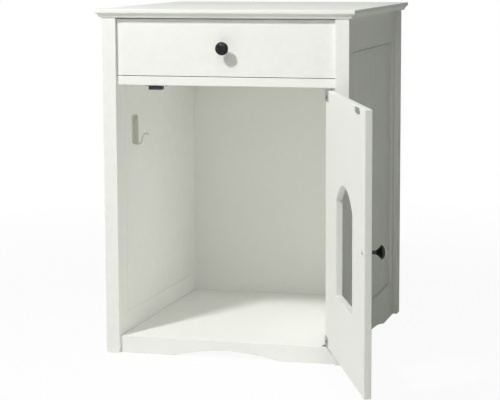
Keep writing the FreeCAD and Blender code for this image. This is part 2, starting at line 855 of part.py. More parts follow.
def cleat(name, side, y_span, top):
    """A strip along the side that carries the edge of a panel."""
    x_span = mirrored(side, INNER_RIGHT - S.cleat_width, INNER_RIGHT)
    board(name, x_span, y_span, (top - S.cleat_thickness, top))


def front_apron():
    """The plinth board under the door, with a shallow curve below."""
    piece = board("front_apron", (-INNER_RIGHT, INNER_RIGHT), (FACE_FRONT, APRON_REAR),
                  (as_size(0.0), S.floor_height))
    curve = piece.draw("scallop", "XZ_Plane", FACE_FRONT)
    curve.outline(scallop(as_size(0.0), S.front_scallop_width))
    piece.cut(curve, S.apron_thickness, 1)
    cross_holes(piece, front_dowel_places()[1])
    plate_screw_holes(piece, S.floor_height, -1)


def front_rail():
    """The rail between drawer and door, which carries the upper hinge and the catch."""
    piece = board("front_rail", (-INNER_RIGHT, INNER_RIGHT), (FACE_FRONT, RAIL_REAR),
                  (RAIL_BOTTOM, RAIL_TOP))
    cross_holes(piece, front_dowel_places()[0])
    plate_screw_holes(piece, RAIL_BOTTOM, 1)
    for number, x in enumerate(catch_screw_places()):
        piece.bore(f"catch_hole_{number}", "XY_Plane", RAIL_BOTTOM, (x, CATCH_MIDDLE_Y),
                   S.screw_radius + S.screw_fit, S.screw_length, 1)


def divider_panel():
    board("divider_panel", (-INNER_RIGHT, INNER_RIGHT), (RAIL_REAR, BACK_PANEL_FRONT),
          (DIVIDER_BOTTOM, RAIL_TOP), rounded=False)


def top_strip():
    """A thin strip under the top board that the drawer front closes below."""
    board("top_front_strip", (-INNER_RIGHT, INNER_RIGHT),
          (FACE_FRONT, FACE_FRONT + S.top_strip_depth),
          (TOP_UNDERSIDE - S.top_strip_thickness, TOP_UNDERSIDE), rounded=False)


def block_screw_points():
    """The middles of the four corner blocks, seen from above."""
    x = INNER_RIGHT - S.block_size / 2
    front = RAIL_REAR + S.block_size / 2
    rear = BACK_PANEL_FRONT - S.block_size / 2
    return [(side * x, y) for _, side in SIDES for y in (front, rear)]


def corner_blocks():
    """Four blocks in the corners under the top board, and the screws that hold it down."""
    half = S.block_size / 2
    blocks = []
    screws = []
    for number, (x, y) in enumerate(block_screw_points()):
        box = DOC.addObject("Part::Box", f"corner_block_{number}")
        put(box, (x - half, y - half, BLOCK_BOTTOM))
        box.setExpression("Length", S.block_size.text)
        box.setExpression("Width", S.block_size.text)
        box.setExpression("Height", S.block_thickness.text)
        hole = solid("Cylinder", f"corner_hole_{number}", (x, y, BLOCK_BOTTOM), "+Z",
                     Radius=S.screw_radius + S.screw_fit, Height=S.block_thickness)
        blocks.append(without(f"corner_piece_{number}", box, hole))
        screws.append(small_screw(f"corner_{number}", (x, y, BLOCK_BOTTOM), "+Z",
                                  S.block_thickness + S.block_screw_reach))
    group("top_corner_blocks", blocks)
    group("top_screws", screws)


def carcass_dowels():
    """Wooden dowels between posts and rails, a little shorter than their holes."""
    dowels = []
    length = S.dowel_in_post + S.dowel_in_rail - S.dowel_end_gap * 2
    for name, side in SIDES:
        for number, z in enumerate(rail_dowel_heights()):
            start = FRAME_FRONT - S.dowel_in_post + S.dowel_end_gap
            dowels.append(solid("Cylinder", f"dowel_front_{name}_{number}",
                                (side * DOWEL_X, start, z), "+Y",
                                Radius=S.dowel_radius, Height=length))
            start = FRAME_BACK + S.dowel_in_post - S.dowel_end_gap
            dowels.append(solid("Cylinder", f"dowel_rear_{name}_{number}",
                                (side * DOWEL_X, start, z), "-Y",
                                Radius=S.dowel_radius, Height=length))
        places = front_dowel_places() + back_dowel_places()
        direction = "-X" if side > 0 else "+X"
        start = side * (INNER_RIGHT + S.dowel_in_post - S.dowel_end_gap)
        for number, (y, z) in enumerate(places):
            dowels.append(solid("Cylinder", f"dowel_cross_{name}_{number}", (start, y, z),
                                direction, Radius=S.dowel_radius, Height=length))
    group("carcass_dowels", dowels)


# ---- drawer -------------------------------------------------------------------------------------


def drawer_runner(name, side):
    """An L-shaped guide: the drawer side rides on its foot and is steered by its wall."""
    piece = Piece(f"drawer_runner_{name}", (side * INNER_RIGHT, FRAME_FRONT, RAIL_TOP))
    profile = piece.draw("profile", "XZ_Plane", FRAME_FRONT)
    wall = INNER_RIGHT - S.runner_wall
    foot = INNER_RIGHT - S.runner_width
    base = RAIL_TOP + S.runner_base
    top = RAIL_TOP + S.runner_height
    profile.outline([
        (side * INNER_RIGHT, RAIL_TOP),
        (side * INNER_RIGHT, top),
        (side * wall, top),
        (side * wall, base),
        (side * foot, base),
        (side * foot, RAIL_TOP),
    ])
    piece.pad(profile, DRAWER_REAR - FRAME_FRONT)


def drawer_stops():
    """Two blocks behind the drawer, which it meets when it is home."""
    stops = []
    for name, side in SIDES:
        box = DOC.addObject("Part::Box", f"drawer_stop_{name}")
        low, _ = mirrored(side, DRAWER_INSIDE, DRAWER_RIGHT)
        put(box, (low, DRAWER_REAR + S.stop_play, RAIL_TOP))
        box.setExpression("Length", S.drawer_board.text)
        box.setExpression("Width", S.stop_depth.text)
        box.setExpression("Height", S.stop_height.text)
        stops.append(box)
    group("drawer_stops", stops)


def bottom_groove(piece, plane, level, span, toward):
    """The groove that holds the edge of the drawer's bottom."""
    groove = piece.draw("bottom_groove", plane, level)
    groove.rectangle((span[0], DRAWER_BOTTOM - S.drawer_groove_fit),
                     (span[1], DRAWER_BOTTOM + S.drawer_bottom_thickness + S.drawer_groove_fit))
    piece.cut(groove, S.drawer_groove_depth + S.panel_gap, toward)


def drawer_front():
    half = INNER_RIGHT - S.drawer_side_gap
    piece = board("drawer_front", (-half, half), (FACE_FRONT, DRAWER_FRONT_REAR),
                  (DRAWER_FRONT_BASE, DRAWER_FRONT_TOP))
    reach = DRAWER_INSIDE + S.drawer_groove_depth + S.panel_gap
    bottom_groove(piece, "XZ_Plane", DRAWER_FRONT_REAR, (-reach, reach), -1)
    piece.bore("knob_hole", "XZ_Plane", FACE_FRONT, (as_size(0.0), DRAWER_KNOB_Z),
               S.bolt_radius + S.screw_fit, S.drawer_front_thickness, 1)
    for number, (x, z) in enumerate(drawer_dowel_places()):
        piece.bore(f"dowel_hole_{number}", "XZ_Plane", DRAWER_FRONT_REAR, (x, z),
                   S.dowel_radius + S.dowel_fit, drawer_dowel_reach(), -1)


def drawer_dowel_places():
    """Places, as x and z, of the dowels between the drawer front and its sides."""
    x = DRAWER_RIGHT - S.drawer_board / 2
    heights = (DRAWER_BASE + S.dowel_inset * 2, DRAWER_BOX_TOP - S.dowel_inset)
    return [(side * x, z) for _, side in SIDES for z in heights]


def drawer_dowel_reach():
    return S.drawer_front_thickness - S.dowel_radius * 2


def drawer_dowels():
    dowels = []
    start = DRAWER_FRONT_REAR - drawer_dowel_reach() + S.dowel_end_gap
    length = drawer_dowel_reach() + S.dowel_in_rail - S.dowel_end_gap * 2
    for number, (x, z) in enumerate(drawer_dowel_places()):
        dowels.append(solid("Cylinder", f"drawer_dowel_{number}", (x, start, z), "+Y",
                            Radius=S.dowel_radius, Height=length))
    group("drawer_dowels", dowels)


def drawer_side(name, side):
    x_span = mirrored(side, DRAWER_INSIDE, DRAWER_RIGHT)
    piece = board(f"drawer_side_{name}", x_span, (DRAWER_FRONT_REAR, DRAWER_REAR),
                  (DRAWER_BASE, DRAWER_BOX_TOP))
    behind = DRAWER_REAR - S.drawer_board + S.drawer_groove_depth + S.panel_gap
    span = (DRAWER_FRONT_REAR - S.drawer_board, behind)
    bottom_groove(piece, "YZ_Plane", side * DRAWER_INSIDE, span, side)
    for number, (x, z) in enumerate(drawer_dowel_places()):
        if x.value * side > 0:
            piece.bore(f"dowel_hole_{number}", "XZ_Plane", DRAWER_FRONT_REAR, (x, z),
                       S.dowel_radius + S.dowel_fit, S.dowel_in_rail, 1)


def drawer_back():
    piece = board("drawer_back", (-DRAWER_INSIDE, DRAWER_INSIDE),
                  (DRAWER_REAR - S.drawer_board, DRAWER_REAR), (DRAWER_BASE, DRAWER_BOX_TOP))
    span = (-DRAWER_INSIDE - S.drawer_board, DRAWER_INSIDE + S.drawer_board)
    bottom_groove(piece, "XZ_Plane", DRAWER_REAR - S.drawer_board, span, 1)


def drawer_bottom():
    reach = DRAWER_INSIDE + S.drawer_groove_depth
    board("drawer_bottom", (-reach, reach),
          (DRAWER_FRONT_REAR - S.drawer_groove_depth,
           DRAWER_REAR - S.drawer_board + S.drawer_groove_depth),
          (DRAWER_BOTTOM, DRAWER_BOTTOM + S.drawer_bottom_thickness), rounded=False)


# ---- door ---------------------------------------------------------------------------------------


def door_panel():
    """A flat slab with an arched hole for the cat, turned open about its hinge pins."""
    piece = Piece("door_panel", AT_PIVOT, S.door_open)
    face = piece.draw("outline", "XZ_Plane", FACE_FRONT)
    face.rectangle((DOOR_LEFT, DOOR_BOTTOM), (DOOR_RIGHT, DOOR_TOP))
    half = S.arch_width / 2
    radius = (half * half + S.arch_rise * S.arch_rise) / (S.arch_rise * 2)
    face.outline([
        (half, ARCH_BOTTOM),
        (half, ARCH_SPRING, radius),
        (-half, ARCH_SPRING),
        (-half, ARCH_BOTTOM),
    ])
    piece.pad(face, S.door_thickness)
    piece.round_edges(S.edge_round)
    for name, level, toward in (("upper", DOOR_TOP, -1), ("lower", DOOR_BOTTOM, 1)):
        piece.bore(f"{name}_pin_bore", "XY_Plane", level, (PIVOT_X, PIVOT_Y),
                   S.pin_radius + S.pin_bore_fit, S.pin_reach + S.leaf_margin, toward)
    low, high = leaf_tongue_span()
    rebate = piece.draw("lower_rebate", "XY_Plane", DOOR_BOTTOM)
    rebate.rectangle((low - S.pin_fit, FACE_FRONT - S.leaf_margin),
                     (high + S.pin_fit + S.leaf_margin * 2, DOOR_REAR + S.leaf_margin))
    piece.cut(rebate, S.hinge_thickness, 1)
    piece.bore("knob_hole", "XZ_Plane", FACE_FRONT, (DOOR_KNOB_X, DOOR_KNOB_Z),
               S.bolt_radius + S.screw_fit, S.door_thickness, 1)
    for number, (x, z) in enumerate(leaf_screw_places() + [strike_screw_place()]):
        piece.bore(f"screw_hole_{number}", "XZ_Plane", DOOR_REAR, (x, z),
                   S.screw_radius + S.screw_fit, S.screw_length, -1)


def leaf_span():
    """The x span of a hinge leaf on the shut door's inner face."""
    edge = DOOR_RIGHT - S.leaf_margin
    return (edge - S.leaf_length, edge)


def leaf_tongue_span():
    edge = DOOR_RIGHT - S.leaf_margin
    return (edge - S.leaf_tongue_length, edge)


def leaf_screw_places():
    """Places, as x and z, of the screws in the two hinge leaves."""
    x = DOOR_RIGHT - S.leaf_margin - S.leaf_length * 0.75
    drop = S.leaf_height * 0.6
    return [(x, DOOR_TOP - drop), (x, DOOR_BOTTOM + drop)]


def hinge_leaf(name, edge, inward, outer_face):
    """An angled leaf: a tongue over the door's end takes the pin, its flap is screwed inside."""
    piece = Piece(f"hinge_leaf_{name}", AT_PIVOT, S.door_open)
    rear = DOOR_REAR + S.hinge_thickness
    low, high = leaf_tongue_span()
    tongue = piece.draw("tongue", "XY_Plane", outer_face)
    tongue.rectangle((low, FACE_FRONT + S.leaf_margin), (high, rear))
    piece.pad(tongue, S.hinge_thickness, inward)
    low, high = leaf_span()
    tip = edge + inward * S.leaf_height
    flap = piece.draw("flap", "XZ_Plane", DOOR_REAR)
    flap.rectangle((low, outer_face), (high, tip))
    piece.pad(flap, S.hinge_thickness)
    corners = piece.upright_edges("y", lambda c: abs(c.z - tip.value) < S.edge_round.value)
    piece.round_edges(S.leaf_corner, corners)
    piece.bore("pin_hole", "XY_Plane", outer_face, (PIVOT_X, PIVOT_Y),
               S.pin_radius + S.pin_fit, S.hinge_thickness, inward)
    place = leaf_screw_places()[0 if name == "top" else 1]
    piece.bore("screw_hole", "XZ_Plane", DOOR_REAR, place,
               S.screw_radius + S.screw_fit, S.hinge_thickness)


def plate_screw_places():
    """Places, as x and y, of the screws in a hinge plate."""
    far = INNER_RIGHT - S.plate_length + S.screw_head_radius + S.leaf_margin
    near = INNER_RIGHT - S.screw_head_radius - S.leaf_margin
    middle = PIVOT_Y
    return [(far, middle), (near, middle)]


def plate_screw_holes(piece, level, toward):
    for number, centre in enumerate(plate_screw_places()):
        piece.bore(f"plate_screw_hole_{number}", "XY_Plane", level, centre,
                   S.screw_radius + S.screw_fit, S.screw_length, toward)


def hinge_plate(name, seat, inward, reach):
    """The carcass half of a pivot hinge: a flat plate with its riveted pin."""
    half = S.plate_width / 2
    x_span = (INNER_RIGHT - S.plate_length, INNER_RIGHT)
    piece = Piece(f"hinge_plate_{name}", (PIVOT_X, PIVOT_Y, as_size(seat)))
    plate = piece.draw("plate", "XY_Plane", seat)
    plate.rectangle((x_span[0], PIVOT_Y - half), (x_span[1], PIVOT_Y + half))
    piece.pad(plate, S.hinge_thickness, inward)
    for number, centre in enumerate(plate_screw_places()):
        piece.bore(f"screw_hole_{number}", "XY_Plane", seat, centre,
                   S.screw_radius + S.screw_fit, S.hinge_thickness, inward)
    piece.bevel_rims("z", seat + inward * S.hinge_thickness, S.screw_radius + S.screw_fit,
                     S.countersink_depth)
    pin = piece.draw("pin", "XY_Plane", seat).circle(PIVOT_X, PIVOT_Y, S.pin_radius)
    piece.pad(pin, reach, inward)


def countersunk(name, at, direction):
    """A flat-headed screw whose head lies flush in a plate."""
    head = solid("Cone", f"{name}_head", at, direction, Height=S.countersink_depth,
                 Radius1=S.screw_radius + S.countersink_depth, Radius2=S.screw_radius)
    shank = solid("Cylinder", f"{name}_shank", at, direction,
                  Radius=S.screw_radius, Height=S.screw_length)
    bars = [
        slot(f"{name}_slot", at, direction, S.recess_length, S.recess_width, S.recess_depth),
        slot(f"{name}_cross", at, direction, S.recess_width, S.recess_length, S.recess_depth),
    ]
    blank = joined(f"{name}_blank", [head, shank])
    return without(f"{name}_whole", blank, joined(f"{name}_recess", bars))


def hinges():
    """Both pivot hinges, their spacer and all their screws."""
    hinge_leaf("top", DOOR_TOP, -1, DOOR_TOP + S.hinge_thickness)
    hinge_leaf("bottom", DOOR_BOTTOM, 1, DOOR_BOTTOM)
    hinge_plate("top", RAIL_BOTTOM, -1, S.door_top_gap + S.pin_reach)
    hinge_plate("bottom", S.floor_height, 1, S.door_bottom_gap + S.pin_reach)
    upper = RAIL_BOTTOM - S.hinge_thickness
    lower = S.floor_height + S.hinge_thickness
    screws = []
    for number, (x, y) in enumerate(plate_screw_places()):
        screws.append(countersunk(f"upper_plate_{number}", (x, y, upper), "+Z"))
        screws.append(countersunk(f"lower_plate_{number}", (x, y, lower), "-Z"))
    group("hinge_plate_screws", screws)
    washer_height = S.door_top_gap - S.hinge_thickness * 2 - S.washer_play
    start = upper - washer_height
    ring = solid("Cylinder", "washer_ring", (PIVOT_X, PIVOT_Y, start), "+Z",
                 Radius=S.washer_radius, Height=washer_height)
    hole = solid("Cylinder", "washer_hole", (PIVOT_X, PIVOT_Y, start), "+Z",
                 Radius=S.pin_radius + S.pin_fit, Height=washer_height)
    group("hinge_washer", [without("washer", ring, hole)])


def strike_screw_place():
    return (CATCH_X, DOOR_TOP - S.strike_margin - S.strike_height / 2)


def strike_plate():
    """The steel plate on the door that the magnet holds."""
    piece = Piece("strike_plate", AT_PIVOT, S.door_open)
    x, z = strike_screw_place()
    half = S.strike_width / 2
    rise = S.strike_height / 2
    face = piece.draw("outline", "XZ_Plane", DOOR_REAR)
    face.rectangle((x - half, z - rise), (x + half, z + rise))
    piece.pad(face, S.strike_thickness)
    piece.round_edges(S.leaf_corner, piece.upright_edges("y", lambda c: True))
    piece.bore("screw_hole", "XZ_Plane", DOOR_REAR, (x, z),
               S.screw_radius + S.screw_fit, S.strike_thickness)
    piece.bevel_rims("y", DOOR_REAR + S.strike_thickness, S.screw_radius + S.screw_fit,
                     S.countersink_depth)


def door_screws():
    """The screws of the hinge leaves and of the strike plate, in the door's inner face."""
    screws = []
    for number, (x, z) in enumerate(leaf_screw_places()):
        at = from_pivot(x, DOOR_REAR + S.hinge_thickness, z)
        screws.append(small_screw(f"leaf_{number}", at, "-Y"))
    x, z = strike_screw_place()
    at = from_pivot(x, DOOR_REAR + S.strike_thickness, z)
    screws.append(countersunk("strike", at, "-Y"))
    group("door_screws", screws, AT_PIVOT, S.door_open)


# ---- knobs --------------------------------------------------------------------------------------


def knob(name, x, z, at, turn=None):
    """A turned knob: small foot, waisted neck and a flared head with a domed face."""
    piece = Piece(name, at, turn)
    profile = piece.draw("profile", "XY_Plane", z)
    face = FACE_FRONT
    flare = S.knob_rim_height - S.knob_base_height - S.knob_neck_height
    rise = S.knob_height - S.knob_rim_height
    dome = (S.knob_head_radius * S.knob_head_radius + rise * rise) / (rise * 2)
    profile.outline([
        (x, face),
        (x, face - S.knob_height, dome),
        (x + S.knob_head_radius, face - S.knob_rim_height),
        (x + S.knob_head_radius, face - S.knob_rim_height + S.edge_round, S.knob_head_radius),
        (x + S.knob_neck_radius, face - S.knob_rim_height + flare),
        (x + S.knob_neck_radius, face - S.knob_base_height),
        (x + S.knob_base_radius, face - S.knob_base_height),
        (x + S.knob_base_radius, face),
    ])
    turned = piece.body.newObject("PartDesign::Revolution", f"{name}_turning")
    turned.Profile = profile.sketch
    turned.ReferenceAxis = (profile.sketch, ["Edge1"])
    turned.Angle = 360.0
    profile.sketch.Visibility = False
    piece.bore("thread", "XZ_Plane", face, (x, z), S.bolt_radius, S.bolt_reach, -1)


def knob_bolt(name, at, length, frame=ORIGIN, turn=None):
    """The machine screw that holds a knob from behind."""
    bolt = screw(f"{name}_bolt", at, "-Y", S.bolt_head_radius, S.bolt_head_height,
                 S.bolt_radius, length)
    group(f"{name}_screw", [bolt], frame, turn)


def knobs():
    height = DRAWER_KNOB_Z
    knob("drawer_knob", as_size(0.0), height, (as_size(0.0), FACE_FRONT, height))
    reach = S.bolt_reach - S.dowel_end_gap
    knob_bolt("drawer_knob", (as_size(0.0), DRAWER_FRONT_REAR, height),
              S.drawer_front_thickness + reach)
    knob("door_knob", DOOR_KNOB_X, DOOR_KNOB_Z, AT_PIVOT, S.door_open)
    knob_bolt("door_knob", from_pivot(DOOR_KNOB_X, DOOR_REAR, DOOR_KNOB_Z),
              S.door_thickness + reach, AT_PIVOT, S.door_open)


# ---- catch and hook -------------------------------------------------------------------------------


def catch_screw_places():
    """The x of the two screws in the catch's flange."""
    reach = (S.catch_flange_width + S.catch_width) / 4
    return (CATCH_X - reach, CATCH_X + reach)


def magnetic_catch():
    """Flange, dark housing and the magnet in its front, under the front rail."""
    half = S.catch_flange_width / 2
    x_span = (CATCH_X - half, CATCH_X + half)
    y_span = (CATCH_FRONT, CATCH_FRONT + S.catch_depth)
    flange = board("catch_flange", x_span, y_span, (CATCH_TOP, RAIL_BOTTOM),
                   rounded=False)
    screws = []
    for number, x in enumerate(catch_screw_places()):
        flange.bore(f"screw_hole_{number}", "XY_Plane", CATCH_TOP, (x, CATCH_MIDDLE_Y),
                    S.screw_radius + S.screw_fit, S.catch_flange_thickness)
        screws.append(small_screw(f"catch_{number}", (x, CATCH_MIDDLE_Y, CATCH_TOP), "+Z"))
    group("catch_screws", screws)
    half = S.catch_width / 2
    x_span = (CATCH_X - half, CATCH_X + half)
    bottom = CATCH_TOP - S.catch_height
    housing = board("catch_housing", x_span, y_span, (bottom, CATCH_TOP), rounded=False)
    half = S.magnet_width / 2
    low = (CATCH_X - half, bottom)
    high = (CATCH_X + half, bottom + S.magnet_height)
    seat = housing.draw("magnet_seat", "XZ_Plane", CATCH_FRONT).rectangle(low, high)
    housing.cut(seat, S.magnet_depth, 1)
    board("catch_magnet", (low[0], high[0]), (CATCH_FRONT, CATCH_FRONT + S.magnet_depth),
          (low[1], high[1]), rounded=False)


def scoop_hook():
    """A rounded wall plate with a bent wire hook below, for the litter scoop."""
    wall = -INNER_RIGHT
    half = S.hook_plate_width / 2
    piece = Piece("scoop_hook", (wall, HOOK_Y, HOOK_BOTTOM))
    plate = piece.draw("plate", "YZ_Plane", wall)
    plate.rectangle((HOOK_Y - half, HOOK_BOTTOM), (HOOK_Y + half, HOOK_TOP))
    piece.pad(plate, S.hook_plate_thickness)
    middle = (HOOK_BOTTOM + S.hook_plate_height / 2).value
    upper = piece.upright_edges("x", lambda c: c.z > middle - piece.at["z"].value)
    piece.round_edges(S.hook_top_corner, upper)
    lower = piece.upright_edges("x", lambda c: c.z < S.hook_bottom_corner.value / 2)
    piece.round_edges(S.hook_bottom_corner, lower)
    piece.bore("screw_hole", "YZ_Plane", wall, (HOOK_Y, HOOK_SCREW_Z),
               S.screw_radius + S.screw_fit, S.hook_plate_thickness)
    hook_wire(piece, wall)
    at = (wall + S.hook_plate_thickness, HOOK_Y, HOOK_SCREW_Z)
    group("hook_screw", [small_screw("hook", at, "-X", S.screw_length)])


def hook_wire(piece, wall):
    """The wire bends out under the plate, rises and curls over at its tip."""
    x = wall + S.hook_wire_radius + S.tongue_fit
    z = HOOK_BOTTOM + S.hook_bend
    leg = x + S.hook_bend * 2
    path = piece.draw("wire_path", "XZ_Plane", HOOK_Y)
    angle = S.hook_lip_angle
    tip_x = leg + S.hook_lip_bend * (1 + cosine(angle))
    tip_z = z + S.hook_rise + S.hook_lip_bend * sine(angle)
    path.outline([
        (x, z, S.hook_bend),
        (x + S.hook_bend, z - S.hook_bend, S.hook_bend),
        (leg, z),
        (leg, z + S.hook_rise, -S.hook_lip_bend),
        (tip_x, tip_z),
    ], closed=False)
    section = piece.draw("wire_section", "XY_Plane", z).circle(x, HOOK_Y, S.hook_wire_radius)
    wire = piece.body.newObject("PartDesign::AdditivePipe", "scoop_hook_wire")
    wire.Profile = section.sketch
    wire.Spine = path.sketch
    DOC.recompute()


def cosine(angle):
    return Size(f"cos({angle.text} * 1 deg)", math.cos(math.radians(angle.value)))


def sine(angle):
    return Size(f"sin({angle.text} * 1 deg)", math.sin(math.radians(angle.value)))


# ---- the whole cabinet --------------------------------------------------------------------------


def carcass():
    top_board()
    for name, side in SIDES:
        front_post(name, side)
        rear_post(name, side)
        side_top_rail(name, side)
        side_bottom_rail(name, side)
        side_stile(name, side, "front")
        side_stile(name, side, "rear")
        side_panel(name, side)
        cleat(f"floor_cleat_{name}", side, (APRON_REAR, BACK_PANEL_FRONT), FLOOR_UNDERSIDE)
        cleat(f"divider_cleat_{name}", side, (RAIL_REAR, BACK_PANEL_FRONT), DIVIDER_BOTTOM)
        drawer_runner(name, side)
    back_panel()
    upper, lower = back_dowel_places()
    back_rail("top", (TOP_UNDERSIDE - S.back_rail_height, TOP_UNDERSIDE), upper)
    back_rail("bottom", (as_size(0.0), S.back_rail_height), lower)
    floor_panel()
    floor_foot()
    front_apron()
    front_rail()
    divider_panel()
    top_strip()
    corner_blocks()
    carcass_dowels()
    drawer_stops()
    magnetic_catch()
    scoop_hook()


def drawer():
    drawer_front()
    for name, side in SIDES:
        drawer_side(name, side)
    drawer_back()
    drawer_bottom()
    drawer_dowels()


def door():
    door_panel()
    hinges()
    strike_plate()
    door_screws()


def check_document():
    """Stops if anything in the document failed or a sub-part has no sound solid."""
    for thing in DOC.Objects:
        if "Invalid" in thing.State or "Error" in thing.State:
            raise ValueError(f"{thing.Name} did not recompute: {thing.State}")
    for part in SUBPARTS:
        if part.Shape.isNull() or not part.Shape.isValid() or not part.Shape.Solids:
            raise ValueError(f"{part.Label} has no valid shape")


def write_parts():
    os.makedirs(OUT_FOLDER, exist_ok=True)
    for part in SUBPARTS:
        path = os.path.join(OUT_FOLDER, f"{part.Label}.step")
        part.Shape.exportStep(path)
        solids = len(part.Shape.Solids)
        print(f"{part.Label}: {solids} solid(s), {part.Shape.Volume / 1000:.2f} cm3")


carcass()
drawer()
door()
knobs()
DOC.recompute()
check_document()
write_parts()
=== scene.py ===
"""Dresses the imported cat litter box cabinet: lacquered boards, turned knobs, steel fittings.

Every length is in metres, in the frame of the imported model: the origin is on the ground under
the middle of the top board, X to the right, Y to the back and Z up. The door's own pieces are
drawn shut and then turned open about the hinge pins, as the photograph shows them.
"""

import logging
import math
from dataclasses import dataclass
from enum import Enum
from typing import Iterable, Sequence

import bmesh
import bpy
from mathutils import Matrix, Vector
from mathutils.geometry import interpolate_bezier, tessellate_polygon


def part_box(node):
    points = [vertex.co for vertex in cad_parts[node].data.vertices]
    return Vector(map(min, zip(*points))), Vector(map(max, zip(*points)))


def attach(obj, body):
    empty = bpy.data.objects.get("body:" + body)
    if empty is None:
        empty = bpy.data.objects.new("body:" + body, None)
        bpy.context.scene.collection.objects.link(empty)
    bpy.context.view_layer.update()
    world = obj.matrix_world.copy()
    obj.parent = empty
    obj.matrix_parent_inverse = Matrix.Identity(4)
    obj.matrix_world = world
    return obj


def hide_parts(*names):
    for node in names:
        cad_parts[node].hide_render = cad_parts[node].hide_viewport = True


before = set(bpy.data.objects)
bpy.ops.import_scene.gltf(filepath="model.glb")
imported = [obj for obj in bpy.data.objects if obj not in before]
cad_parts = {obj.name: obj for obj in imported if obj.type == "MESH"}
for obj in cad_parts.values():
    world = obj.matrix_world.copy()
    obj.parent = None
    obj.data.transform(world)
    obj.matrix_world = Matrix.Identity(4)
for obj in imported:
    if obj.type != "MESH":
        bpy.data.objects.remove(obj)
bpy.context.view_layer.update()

LOG = logging.getLogger("cabinet")
MM = 0.001

Point2 = tuple[float, float]
Point3 = tuple[float, float, float]
Loop = list[Point2]
Colour = tuple[float, float, float]
Work = bmesh.types.BMesh
Thing = bpy.types.Object
Tree = bpy.types.NodeTree
Node = bpy.types.Node
Socket = bpy.types.NodeSocket
Material = bpy.types.Material

UP: Point3 = (0, 0, 1)
DOWN: Point3 = (0, 0, -1)
FORWARD: Point3 = (0, -1, 0)
BACKWARD: Point3 = (0, 1, 0)
SIDEWAYS = (BACKWARD, UP)
FRONTWAYS = ((1, 0, 0), UP)

WHITE: Colour = (1.0, 1.0, 1.0)
SOFT_BAND: Point2 = (0.3, 0.7)


# ---- choices -------------------------------------------------------------------------------


class Body(Enum):
    """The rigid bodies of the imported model."""

    CASE = "case"
    DRAWER = "drawer"
    DOOR = "door"


class Slot(Enum):
    """The record's material slots."""

    LACQUER = "white_lacquer"
    BEECH = "beech"
    DARK_CHROME = "black_chrome"
    ZINC = "zinc_steel"
    NICKEL = "nickel_steel"
    MAGNET = "dark_metal"
    PLASTIC = "black_plastic"
    NYLON = "nylon"


class Wear(Enum):
    """Whether a finish has its plain colour or a darker copy of it that paints shade."""

    FRESH = ""
    DULL = "_dull"


class Crisp(Enum):
    """Edges that turn by more than this many degrees stay crisp, by the kind of piece."""

    BOARD = 50.0
    CUT = 45.0
    TURNED = 40.0
    SCREW = 35.0
    SCORED = 25.0


class Side(Enum):
    """Left and right, with the sign of X on that side."""

    LEFT = -1
    RIGHT = 1

    @property
    def word(self) -> str:
        """The side's name as the nodes spell it."""
        return self.name.lower()


# ---- shared levels -------------------------------------------------------------------------


@dataclass(frozen=True)
class Levels:
    """Faces and heights that several sub-assemblies share, and the door's turn in degrees."""

    top: float = 0.635
    top_underside: float = 0.620
    case_right: float = 0.229
    case_front: float = -0.251
    case_back: float = 0.252
    post: float = 0.025
    inner_right: float = 0.204
    frame_right: float = 0.221
    face_front: float = -0.244
    rail_top: float = 0.514
    rail_bottom: float = 0.498
    floor: float = 0.031
    pivot_x: float = 0.192
    pivot_y: float = -0.238
    door_open: float = 111.5

    @property
    def frame_front(self) -> float:
        """Rear face of the front posts."""
        return self.case_front + self.post

    @property
    def frame_back(self) -> float:
        """Front face of the rear posts."""
        return self.case_back - self.post

    def door_turn(self) -> Matrix:
        """The turn about the hinge pins that opens the door as photographed."""
        pin = Vector((self.pivot_x, self.pivot_y, 0.0))
        swing = Matrix.Rotation(math.radians(self.door_open), 4, "Z")
        return Matrix.Translation(pin) @ swing @ Matrix.Translation(-pin)


LEVELS = Levels()


# ---- drawing outlines ----------------------------------------------------------------------


def radians(*degrees: float) -> list[float]:
    """The same angles in radians."""
    return [math.radians(angle) for angle in degrees]


def oval(centre: Point2, radii: Point2, start: float, steps: int,
         sweep: float = 90.0) -> Loop:
    """Points along part of an upright oval, both ends included.

    Args:
        centre: Middle of the oval.
        radii: Its half-widths across and up.
        start: Angle of the first point, in degrees.
        steps: Number of spans between the points.
        sweep: Angle from the first point to the last, in degrees.

    Returns:
        The points in order, anticlockwise.
    """
    return [(centre[0] + radii[0] * math.cos(t), centre[1] + radii[1] * math.sin(t))
            for t in radians(*(start + sweep * i / steps for i in range(steps + 1)))]


def circle(x: float, y: float, radius: float, steps: int) -> Loop:
    """A circle's points, anticlockwise."""
    return oval((x, y), (radius, radius), 0.0, steps, 360.0)[:-1]


def rectangle(x0: float, x1: float, y0: float, y1: float) -> Loop:
    """A rectangle's corners, anticlockwise."""
    return [(x0, y0), (x1, y0), (x1, y1), (x0, y1)]


def arc_through(first: Point2, last: Point2, rise: float, steps: int) -> Loop:
    """A shallow arc between two points that bulges to the left of the way from first to last.

    Args:
        first: Start point.
        last: End point.
        rise: Height of the bulge over the chord; negative bulges to the right.
        steps: Number of spans.

    Returns:
        The points in order, both ends included.
    """
    a, b = Vector(first), Vector(last)
    half = (b - a).length / 2
    sign = math.copysign(1.0, rise)
    top = Vector((a.y - b.y, b.x - a.x)).normalized() * sign
    radius = (half * half + rise * rise) / (2 * abs(rise))
    middle = (a + b) / 2 - top * (radius - abs(rise))
    sweep = math.asin(min(1.0, half / radius)) * sign
    spokes = [Matrix.Rotation(sweep * (1 - 2 * i / steps), 2) @ top * radius
              for i in range(steps + 1)]
    return [tuple(middle + spoke) for spoke in spokes]


